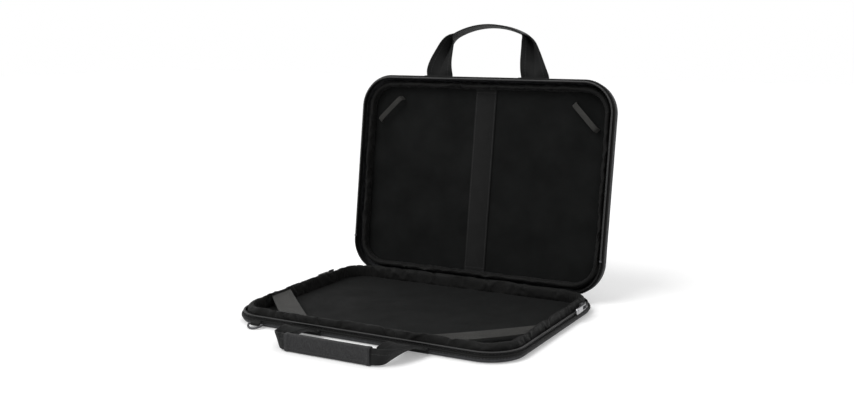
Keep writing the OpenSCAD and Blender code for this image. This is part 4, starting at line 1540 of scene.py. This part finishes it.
class CASE_OT_handles(bpy.types.Operator):
    """Build both webbing handles, folded to a grip, and the sleeve on the base's handle"""

    bl_idname = "case.handles"
    bl_label = "Handles"

    def execute(self, context):
        m = Measures(context)
        for side, stations, upward, bend, squeeze in (
            ("base", grip_line(), 1, 1.8, 0.94),
            ("lid", arch_line(m), -1, 1.3, 1.0),
        ):
            body, change = f"{side}_handle", m.opening(side)
            shape, seam = handle_strap(m, stations, upward, bend, squeeze)
            names = (f"{body}_strap", "Handle webbing", body, "webbing", f"{body}_webbing")
            add_piece(shape, *names, change=change)
            add_piece(seam, f"{body}_stitches", "Thread", body, "webbing", change=change)
        add_sleeve(m)
        return {"FINISHED"}


def sew_patch(shape, seam, m, x, line, edge, crossed):
    """Adds a webbing patch over a shell's rounded edge, with a box of stitches, crossed if asked.
    line gives its distances outwards and heights."""
    path = [Vector((x, -m.half_d - u, z)) for u, z in line]
    ups = []
    for u, z in line:
        way = (0, -1, 0) if z >= edge else (0, -(u + edge), z - edge)
        ups.append(Vector(way).normalized())
    band(shape, path, RIGHT, ups, m.web_w, 1.0)
    face = [p + up * 0.55 for p, up in zip(path, ups)]
    outer, inner, corner = 16.5, 14.5, 14
    for offset in (-outer, -inner, inner, outer):
        stitch_row(seam, [p + RIGHT * offset for p in face], ups, m)
    for n in (1, len(face) - 2):
        stitch_row(seam, [face[n] + RIGHT * dx for dx in spread(-outer, outer, 3)], ups[n], m)
    if crossed:
        upright = next(i for i, (_, z) in enumerate(line) if z <= edge)
        for sign in (-1, 1):
            places = [sign * mix(-corner, corner, k / (upright - 1)) for k in range(upright)]
            stitch_row(seam, [face[1 + k] + RIGHT * dx for k, dx in enumerate(places)], (0, -1, 0), m)


class CASE_OT_patches(bpy.types.Operator):
    """Build the webbing patches where the handles are sewn on, with their box stitches"""

    bl_idname = "case.patches"
    bl_label = "Handle patches"

    def execute(self, context):
        m = Measures(context)
        for side, rim, edge, change in (
            ("base", m.base_rim, BASE_EDGE, None),
            ("lid", m.height - m.lid_rim, LID_EDGE, m.turned_over(m.height)),
        ):
            shape, seam = Shape(), Shape()
            line = [(0.55, z) for z in spread(rim, edge, 1.5)]
            line += [(u - edge, z + edge) for u, z in arc((0, 0), edge + 0.55, 0, -45, 6)][1:]
            for x in (-LEG_X, LEG_X):
                sew_patch(shape, seam, m, x, line, edge, side == "lid")
            name, node = f"{side}_webbing_patches", f"{side}_handle_patches"
            add_piece(shape, name, "Handle webbing", side, "webbing", node, change=change)
            add_piece(seam, f"{side}_patch_stitches", "Thread", side, "webbing", change=change)
        return {"FINISHED"}


class CASE_OT_rings(bpy.types.Operator):
    """Build the tabs that hold the strap rings, and finish the wire rings"""

    bl_idname = "case.rings"
    bl_label = "Strap rings"

    def execute(self, context):
        m = Measures(context)
        loop_r, bend, bend_r = 1.98, (-8, 29.2), 8.55
        base_line = [(0.5, 8.5), (0.5, 7.2), (0.55, 6.0)] + arc((2.9, 4.2), loop_r, 172, 430, 18)
        base_line += [(1.45, 7.0), (1.2, 8.1)]
        lid_line = [(0.55, 26.0), (0.55, 27.6)] + arc(bend, bend_r, 0, 66, 10)
        lid_line += arc((-4.289, 39.396), loop_r, 256, 590, 20)
        for side, x, line, seam_out, seam_z in (
            ("base", -RING_X, base_line, 1.65, 7.6),
            ("lid", RING_X, lid_line, 1.0, 28.4),
        ):
            shape, seam = Shape(), Shape()
            path = [Vector((x, -m.half_d - u, z)) for u, z in line]
            ups = [RIGHT.cross(run_at(path, n)) for n in range(len(path))]
            band(shape, path, RIGHT, ups, 13, 0.75)
            name, node, change = f"{side}_ring_loop", f"{side}_ring_tab", m.opening(side)
            add_piece(shape, name, "Handle webbing", side, "webbing", node, change=change)
            if side == "lid":
                outer = arc(bend, bend_r + 0.45, 0, 52, 8)
                outs = [Vector((0, -(u - bend[0]), z - bend[1])) for u, z in outer]
                for offset in (-4.8, 4.8):
                    stitch_row(seam, [(x + offset, -m.half_d - u, z) for u, z in outer], outs, m)
            row = [(x + dx, -m.half_d - seam_out, seam_z) for dx in spread(-5, 5, 2.5)]
            stitch_row(seam, row, (0, -1, 0), m)
            add_piece(seam, f"{name}_stitches", "Thread", side, "webbing", change=change)
            finish_node(f"{side}_strap_ring", "Slider metal")
        return {"FINISHED"}


class CASE_OT_sliders(bpy.types.Operator):
    """Round the edges of the two sliders and their pulls, and finish them in metal"""

    bl_idname = "case.sliders"
    bl_label = "Sliders and pulls"

    def execute(self, context):
        for side in ("left", "right"):
            dressed_copy(f"slider_{side}", "Slider metal", "dark_metal", 0.28)
            dressed_copy(f"pull_{side}", "Pull metal", "bright_metal", 0.3)
        return {"FINISHED"}


# ---------------------------------------------------------------- panel and start

STEPS = (
    CASE_OT_stage,
    CASE_OT_finishes,
    CASE_OT_base_shell,
    CASE_OT_lid_shell,
    CASE_OT_linings,
    CASE_OT_rolls,
    CASE_OT_zip,
    CASE_OT_spine,
    CASE_OT_inner_straps,
    CASE_OT_pockets,
    CASE_OT_stud,
    CASE_OT_handles,
    CASE_OT_patches,
    CASE_OT_rings,
    CASE_OT_sliders,
)


class CASE_PT_panel(bpy.types.Panel):
    """The case's sizes, colours and steps"""

    bl_label = "Carrying case"
    bl_idname = "CASE_PT_panel"
    bl_space_type = "VIEW_3D"
    bl_region_type = "UI"
    bl_category = "Case"

    def draw(self, context):
        for group_name in ("case_sizes", "case_colours"):
            choices = getattr(context.scene, group_name)
            column = self.layout.column()
            for name in choices.__annotations__:
                column.prop(choices, name)
        for step in STEPS:
            self.layout.operator(step.bl_idname)


CLASSES = (CaseSizes, CaseColours, *STEPS, CASE_PT_panel)


def register():
    for item in CLASSES:
        bpy.utils.register_class(item)
    bpy.types.Scene.case_sizes = bpy.props.PointerProperty(type=CaseSizes)
    bpy.types.Scene.case_colours = bpy.props.PointerProperty(type=CaseColours)


def unregister():
    del bpy.types.Scene.case_colours
    del bpy.types.Scene.case_sizes
    for item in reversed(CLASSES):
        bpy.utils.unregister_class(item)


def main():
    """Builds the whole look."""
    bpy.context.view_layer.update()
    register()
    for step in STEPS:
        area, action = step.bl_idname.split(".")
        getattr(getattr(bpy.ops, area), action)()


if __name__ == "__main__":
    main()
